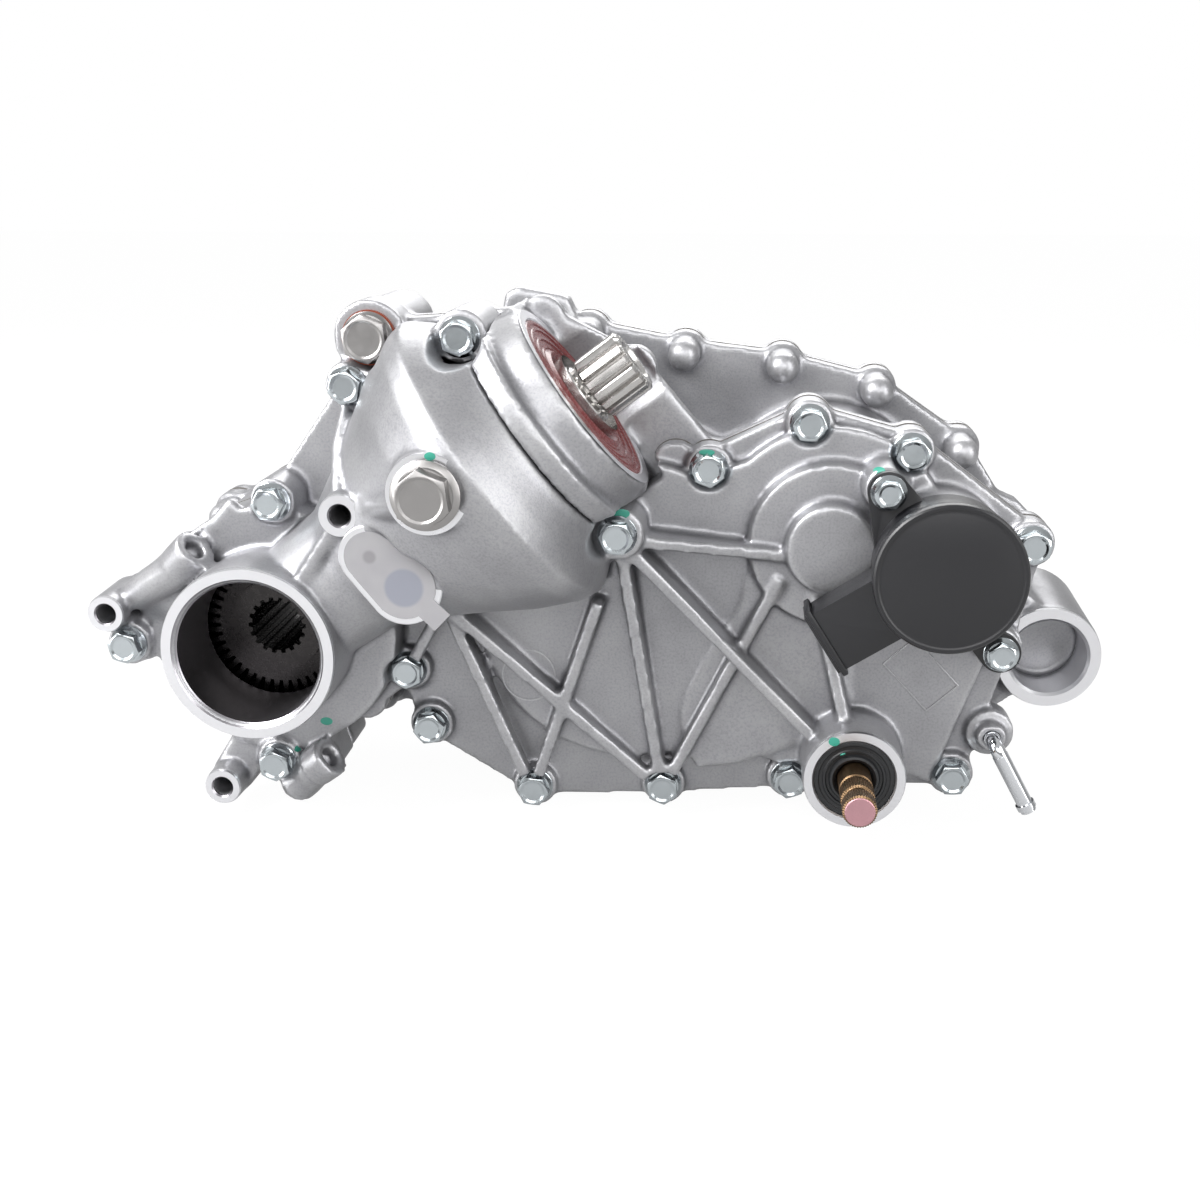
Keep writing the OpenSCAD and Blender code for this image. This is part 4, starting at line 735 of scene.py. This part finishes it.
def bolt_set(name, node, size, material):
    """All bolts of one kind, each turned by its own angle."""
    bm = bmesh.new()
    for number, seat in enumerate(SEATS[node]):
        twist = Matrix.Rotation(math.radians(number * NEXT_ANGLE + FIRST_ANGLE), 4, "Z")
        flange_head(bm, seat @ twist, *size)
    new_piece(name, bm, material, node=node, smooth_below=28)
    print(name, len(SEATS[node]))


bolt_set("cover_bolt_heads", "cover_bolts", M8, ZINC)
bolt_set("neck_bolt_heads", "neck_bolts", M8, ZINC)
bolt_set("rear_bolt_heads", "rear_bolts", M8, ZINC)
bolt_set("sensor_bolt_heads", "sensor_bolts", M6, ZINC)
bolt_set("fill_plug_head", "fill_plug", FILL, PLUG)
bolt_set("level_plug_head", "level_plug", LEVEL, PLUG)

# %% [markdown]
# The output shaft runs in a large lip seal of brown fluoro-rubber, whose face is moulded
# with a few concentric ridges. Half its section, from the shaft's hole out and back, is
# spun round the shaft.

# %% Output seal
SEAL_FACE = [(18.1, 0.6), (36.9, 0.6), (36.9, 5.5), (36.5, 6.0), (35.0, 6.0), (34.5, 5.5), (33.4, 5.5),
             (33.0, 5.9), (32.0, 5.9), (31.6, 5.3), (29.2, 5.1), (28.8, 5.5), (27.9, 5.5), (27.5, 4.9),
             (25.2, 4.7), (24.8, 5.1), (24.1, 5.1), (23.7, 4.7), (22.6, 5.4), (21.4, 5.9), (20.2, 5.4),
             (18.1, 3.0), (18.1, 0.6)]
seal = turned("output_seal_face", SEAL_FACE, on_output(161), FLUORO, node="output_seal",
              steps=128)
print("seal faces:", len(seal.data.polygons))

# %% [markdown]
# The splined nose is hobbed, ground, hollow and chamfered at its end. A circle with
# enough points for every tooth is pulled up one ring at a time, and then each point moves
# to its place on the tooth's outline. Near the ends a largest radius cuts the teeth down,
# as the chamfer does. The plain rest of the shaft is kept from the solid.

# %% Splined nose
SPLINE_TEETH = 16
SPLINE = [(0.0, 10.7), (0.08, 10.9), (0.2, 12.9), (0.26, 13.2), (0.5, 13.2), (0.74, 13.2), (0.8, 12.9),
          (0.92, 10.9)]
NOSE = [(-0.8, 10.4), (0.2, 11.2), (1.6, 12.9), (2.2, 13.2), (20.3, 13.2), (21.3, 11.9), (21.4, 11.4),
        (21.4, 8.4), (20.0, 7.6), (20.0, 5.2), (12.0, 5.0)]


def toothed(bm, place, teeth, shape, heights):
    """Toothed bar. Shape is (share of a pitch, radius), heights is (height, largest radius), in mm."""
    part = bmesh.new()
    count = teeth * len(shape)
    bmesh.ops.create_circle(part, segments=count, radius=1.0)
    edges = list(part.edges)
    for step in range(1, len(heights)):
        edges = edges_in(bmesh.ops.extrude_edge_only(part, edges=edges)["geom"])
        for vert in {v for e in edges for v in e.verts}:
            vert.co.z = step
    bmesh.ops.edgeloop_fill(part, edges=edges)
    for vert in part.verts:
        spot = round(math.atan2(vert.co.y, vert.co.x) / (2 * math.pi) * count) % count
        share, radius = shape[spot % len(shape)]
        height, largest = heights[round(vert.co.z)]
        angle = (spot // len(shape) + share) / teeth * 2 * math.pi
        reach = min(radius, largest) * MM
        vert.co = (reach * math.cos(angle), reach * math.sin(angle), height * MM)
    bmesh.ops.recalc_face_normals(part, faces=part.faces)
    take(bm, part, place)


bm = merged_copy("output_shaft")
cut_at = on_output(169.4)
bmesh.ops.bisect_plane(bm, geom=bm.verts[:] + bm.edges[:] + bm.faces[:], plane_co=cut_at.translation,
                       plane_no=cut_at.col[2].to_3d(), clear_outer=True)
toothed(bm, on_output(170), SPLINE_TEETH, SPLINE, NOSE)
nose = new_piece("output_shaft_nose", bm, STEEL, "output_train", "output_shaft", smooth_below=24)
COLLAR = [(17.9, 0), (18.1, 0.6), (17.9, 3.6), (17.0, 4.4), (16.2, 4.6), (15.4, 5.6), (13.6, 6.6),
          (12.9, 7.0), (12.6, 8.0), (11.0, 8.9), (10.4, 9.2)]
turned("output_collar", COLLAR, on_output(161), STEEL, "output_train")
print("nose faces:", len(nose.data.polygons))

# %% [markdown]
# The end of the shift shaft is rolled with fine serrations for its lever, with a groove
# for the clamp screw between two bands of them. Its end face is dyed pink. A serration is
# a circle of points that lie on its crests and in its roots by turns.

# %% Serrated shift shaft end
SERRATIONS, SERRATION_DEPTH, SERRATED_RADIUS = 40, 0.35, 6.85
END_LENGTH, END_SHARE = 0.6, 0.86


def serrated(bm, place, low, high):
    """Band of fine serrations between two heights, with chamfered ends."""
    part = bmesh.new()
    bmesh.ops.create_circle(part, segments=SERRATIONS * 2, radius=SERRATED_RADIUS * MM)
    ring = list(part.verts)
    edges = list(part.edges)
    heights = [(low, END_SHARE), (low + END_LENGTH, 1.0), (high - END_LENGTH, 1.0), (high, END_SHARE)]
    for step, (height, scale) in enumerate(heights):
        if step:
            grown = bmesh.ops.extrude_edge_only(part, edges=edges)["geom"]
            ring = points_in(grown)
            edges = edges_in(grown)
        for vert in ring:
            angle = math.atan2(vert.co.y, vert.co.x)
            on_crest = round(angle / (math.pi / SERRATIONS)) % 2
            reach = (SERRATED_RADIUS - (0 if on_crest else SERRATION_DEPTH)) * scale * MM
            vert.co = (reach * math.cos(angle), reach * math.sin(angle), height * MM)
    bmesh.ops.edgeloop_fill(part, edges=edges)
    bmesh.ops.recalc_face_normals(part, faces=part.faces)
    take(bm, part, place)


shift_tip = facing(SHIFT_AXIS, -78)
bm = bmesh.new()
spin(bm, [(0, -164), (7.5, -164), (7.5, -40.2), (6.8, -40), (6.8, -22.0), (6.2, -21.5), (6.2, -20.4),
          (5.6, -20)], shift_tip, 64)
serrated(bm, shift_tip, -21, -11)
spin(bm, [(6.2, -11.4), (5.7, -10.9), (5.6, -8.2), (6.2, -7.6)], shift_tip, 64)
serrated(bm, shift_tip, -8, -0.5)
shaft = new_piece("shift_shaft_end", bm, YELLOW, "shift_train", "shift_shaft", smooth_below=25)
turned("shift_shaft_dye", [(0, -0.6), (5.9, -0.6), (5.9, -0.25), (5.6, -0.02), (0, 0)], shift_tip, PINK_END,
       "shift_train", steps=64)
print("shift shaft faces:", len(shaft.data.polygons))

# %% [markdown]
# Round the shift shaft lies a small nitrile lip seal. Its section, from the outer edge in
# to the lip that touches the shaft, is spun like the large one's.

# %% Shift seal
SHIFT_SEAL_FACE = [(16.4, -5), (16.4, -0.2), (15.6, 0.15), (14.6, 0.15), (14.2, -0.2), (13.0, -0.3),
                   (12.6, 0.2), (11.8, 0.2), (11.4, -0.5), (10.4, -0.6), (9.8, 0.6), (8.9, 0.9),
                   (8.0, 0.3), (6.95, -1.4), (6.95, -5), (16.4, -5)]
seal = turned("shift_seal_face", SHIFT_SEAL_FACE, facing(SHIFT_AXIS, -45), NITRILE,
              node="shift_seal")
print("shift seal faces:", len(seal.data.polygons))

# %% [markdown]
# The position sensor is one moulding of glass-filled nylon. Moulded edges are never
# knife-sharp: a rounding of half a millimetre catches a thin line of light. The solid's
# flat faces are joined first, so that the rounding runs along real edges only.

# %% Position sensor
SAME_FACE, REAL_EDGE = math.radians(0.6), math.radians(35)
SENSOR_AXIS = (275, 38)
LID = [(27.5, 0), (29.0, 0.3), (29.4, 1.0), (29.4, 4.8), (29.1, 5.8), (28.4, 6.35), (27.5, 6.3),
       (26.9, 5.9), (26.3, 5.85), (25.6, 6.15), (0, 6.3)]


def softened(name, node, material, width):
    """A copy of a solid with every real edge rounded by a width in mm."""
    bm = merged_copy(node)
    bmesh.ops.dissolve_limit(bm, angle_limit=SAME_FACE, verts=bm.verts, edges=bm.edges)
    sharp = [e for e in bm.edges if len(e.link_faces) == 2 and e.calc_face_angle(0) > REAL_EDGE]
    bmesh.ops.bevel(bm, geom=sharp, offset=width * MM, offset_type="OFFSET", segments=2, profile=0.5,
                    affect="EDGES", clamp_overlap=True, material=-1)
    piece = new_piece(name, bm, material, node=node, smooth_below=30)
    print(name, len(piece.data.polygons), "faces")


softened("sensor_shell", "position_sensor", NYLON, 0.5)
turned("sensor_lid", LID, facing(SENSOR_AXIS, -56), NYLON, steps=128)

# %% [markdown]
# The sensor's plug socket ends in a flared mouth, and its two screws pass through plated
# bushes. The mouth is a flat frame: a face is inset, its middle is taken out, and what is
# left is given a thickness and rounded edges.

# %% Socket mouth and bushes
SOCKET_MOUTH, SOCKET_WAY = (229.0, -45.5, 8.6), (-47, -30)
BUSH = [(3.2, -3.5), (3.2, 0.1), (6.6, 0.1), (6.9, -0.2), (6.9, -0.6)]


def flat_frame(width, height, border, thickness, rounding):
    """A rectangular frame round the origin, all in mm."""
    bm = bmesh.new()
    bmesh.ops.create_grid(bm, x_segments=1, y_segments=1, size=0.5)
    bmesh.ops.scale(bm, verts=bm.verts, vec=(width * MM, height * MM, 1))
    band = bmesh.ops.inset_region(bm, faces=bm.faces, thickness=border * MM, use_boundary=True,
                                  use_even_offset=True)["faces"]
    bmesh.ops.delete(bm, geom=[f for f in bm.faces if f not in band], context="FACES_ONLY")
    bmesh.ops.solidify(bm, geom=bm.faces, thickness=thickness * MM)
    bmesh.ops.recalc_face_normals(bm, faces=bm.faces)
    bmesh.ops.bevel(bm, geom=bm.edges, offset=rounding * MM, offset_type="OFFSET", segments=2, profile=0.5,
                    affect="EDGES", clamp_overlap=True, material=-1)
    return bm


bm = flat_frame(30, 18.6, 1.9, 2.4, 0.4)
along_socket = Matrix.Rotation(-math.atan2(SOCKET_WAY[1], SOCKET_WAY[0]), 4, "Y")
upright = Matrix.Rotation(math.radians(90), 4, "Y")
bm.transform(Matrix.Translation(Vector(SOCKET_MOUTH) * MM) @ along_socket @ upright)
lip = new_piece("sensor_socket_lip", bm, NYLON, smooth_below=30)
for name, place in SENSOR_BOLTS.items():
    turned("sensor_bush_" + name, BUSH, facing(place, -41), ZINC, steps=48)
print("lip faces:", len(lip.data.polygons))

# %% [markdown]
# The bare raised frame on the ribbed wall is where a cast mark would stand, and a thin
# raised ring beside it is the print of an ejector pin, which pushes the casting out of
# its die.

# %% Raised frame and ejector mark
bm = flat_frame(28, 17.5, 0.7, 1.2, 0.2)
bm.transform(facing((271.3, -14.5), -18.5) @ Matrix.Rotation(math.radians(-47), 4, "Z"))
bare_frame = new_piece("bare_cast_frame", bm, CAST)
turned("ejector_mark", [(11.9, -0.6), (11.5, 0.25), (10.9, 0.25), (10.5, -0.6)], facing((107.5, -19.9), -18),
       CAST)
print("frame faces:", len(bare_frame.data.polygons))

# %% [markdown]
# A tester's teal paint dots show which bolts were tightened. Each dot is a thin smear laid
# on the surface that a line from the front meets first.

# %% Witness paint
IN_FRONT = -0.2
# Each dot is (x, z, radius, stretch), in mm.
DOTS = [(83.8, 88.0, 1.5, 1.4), (148.7, 56.6, 1.8, 1.8), (181.1, 77.0, 1.6, 2.0), (21.0, -40.5, 1.8, 1.5),
        (8.2, -53.0, 1.4, 1.3), (248.3, 74.6, 1.6, 1.8), (235.2, -34.6, 1.9, 1.2), (239.1, -40.5, 1.2, 1.0)]


def paint_dot(number, x, z, radius, stretch):
    """Thin smear of paint where a line along Y from the front first meets the gearbox."""
    graph = bpy.context.evaluated_depsgraph_get()
    start = Vector((x * MM, IN_FRONT, z * MM))
    hit, place, normal, _, _, _ = scene.ray_cast(graph, start, Vector((0, 1, 0)))
    if not hit:
        print("no surface at", x, z)
        return
    laid_on = normal.to_track_quat("Z", "Y").to_matrix().to_4x4()
    bm = bmesh.new()
    spin(bm, [(radius, -0.4), (radius, 0.02), (radius * 0.8, 0.1), (0, 0.16)],
         Matrix.Translation(place) @ laid_on @ Matrix.Diagonal((stretch, 1, 1, 1)), 24)
    new_piece(f"paint_dot_{number}", bm, PAINT)


for number, dot in enumerate(DOTS):
    paint_dot(number, *dot)
print("paint dots:", len(DOTS))

# %% [markdown]
# # The studio
#
# Soft boxes, which are large lamps behind white cloth, light the gearbox: one hangs above
# and to the left, and weaker ones fill from the sides, the front and behind. A large lamp
# makes soft shadows and broad highlights, as the photograph has them.

# %% Lamps
MIDDLE = (0.14, 0.0, 0.0)
# Each box has its place and size in metres and its power in watts.
BOXES = {
    "box_above_left": ((-0.8, -0.5, 1.0), (0.7, 0.7), 40),
    "box_right": ((1.3, -0.7, 0.5), (0.7, 1.2), 12),
    "box_left": ((-1.2, -0.7, 0.2), (0.5, 0.9), 12),
    "box_front": ((0.25, -1.5, 0.8), (1.5, 0.6), 12),
    "box_behind": ((0.2, 1.2, 0.9), (1.2, 0.8), 14),
}
for name, (place, size, watts) in BOXES.items():
    light = bpy.data.lights.new(name, "AREA")
    light.shape = "RECTANGLE"
    light.size, light.size_y = size
    light.energy = watts
    lamp = bpy.data.objects.new(name, light)
    lamp.location = place
    lamp.rotation_euler = (Vector(MIDDLE) - Vector(place)).to_track_quat("-Z", "Y").to_euler()
    scene.collection.objects.link(lamp)
print("lamps:", len(BOXES))

# %% [markdown]
# The world is white where the camera sees it and much dimmer where it lights the gearbox,
# lighter from above than from below. The metal sees a quarter of the white round it: all
# of it would wash out the dark sides that give cast metal its depth.

# %% World
MIRRORED_SHARE = 0.25
FROM_BELOW, FROM_THE_TOP = 0.08, 0.56
WHITE = (1, 1, 1, 1)


def background_rays(tree):
    """1 for rays that see the backdrop straight or through glass, a quarter for reflected ones."""
    rays = add(tree, "ShaderNodeLightPath")
    straight = add(tree, "ShaderNodeMath", {"operation": "MAXIMUM"},
                   {0: rays.outputs["Is Camera Ray"], 1: rays.outputs["Is Transmission Ray"]})
    mirrored = add(tree, "ShaderNodeMath", {"operation": "MULTIPLY", 1: MIRRORED_SHARE},
                   {0: rays.outputs["Is Glossy Ray"]})
    return add(tree, "ShaderNodeMath", {"operation": "MAXIMUM"},
               {0: straight.outputs["Value"], 1: mirrored.outputs["Value"]}).outputs["Value"]


world = bpy.data.worlds.new("studio_air")
scene.world = world
world.use_nodes = True
tree = world.node_tree
seen = background_rays(tree)
way = add(tree, "ShaderNodeTexCoord").outputs["Generated"]
height = add(tree, "ShaderNodeSeparateXYZ", links={0: way}).outputs["Z"]
lift = add(tree, "ShaderNodeMapRange",
           {"From Min": -0.3, "From Max": 0.9, "To Min": FROM_BELOW, "To Max": FROM_THE_TOP}, {"Value": height})
strength = add(tree, "ShaderNodeMix", {"data_type": "FLOAT", NUMBER_B: 1.0},
               {0: seen, NUMBER_A: lift.outputs["Result"]})
sky = tree.nodes["Background"]
sky.inputs["Color"].default_value = WHITE
tree.links.new(strength.outputs[0], sky.inputs["Strength"])
print("world light from", FROM_BELOW, "to", FROM_THE_TOP)

# %% [markdown]
# The floor is a wide sheet of white paper just under the gearbox. It glows white for the
# camera, so that it meets the world without a line, and a tenth of it stays a real grey
# surface, which keeps a faint contact shadow.

# %% Floor
FLOOR_REACH, FLOOR_GAP = 6, 0.0002
GLOW_SHARE, GLOW_STRENGTH = 0.9, 1.08

bm = bmesh.new()
bmesh.ops.create_grid(bm, x_segments=1, y_segments=1, size=FLOOR_REACH)
floor_mesh = bpy.data.meshes.new("studio_floor")
bm.to_mesh(floor_mesh)
bm.free()
floor_mesh.transform(Matrix.Translation((0, 0, solid_box[0][2] - FLOOR_GAP)))
floor = bpy.data.objects.new("studio_floor", floor_mesh)
scene.collection.objects.link(floor)
paper, tree, shader = new_material("white_paper_floor", "#A8A8A8", 0.0, 0.9)
share = add(tree, "ShaderNodeMath", {"operation": "MULTIPLY", 1: GLOW_SHARE}, {0: background_rays(tree)})
glow = add(tree, "ShaderNodeEmission", {"Color": WHITE, "Strength": GLOW_STRENGTH})
blend = add(tree, "ShaderNodeMixShader",
            links={0: share.outputs["Value"], 1: shader.outputs["BSDF"], 2: glow.outputs["Emission"]})
tree.links.new(blend.outputs["Shader"], tree.nodes["Material Output"].inputs["Surface"])
floor_mesh.materials.append(paper)
scene.view_settings.view_transform = "Standard"
print("floor at", round(solid_box[0][2] - FLOOR_GAP, 4))
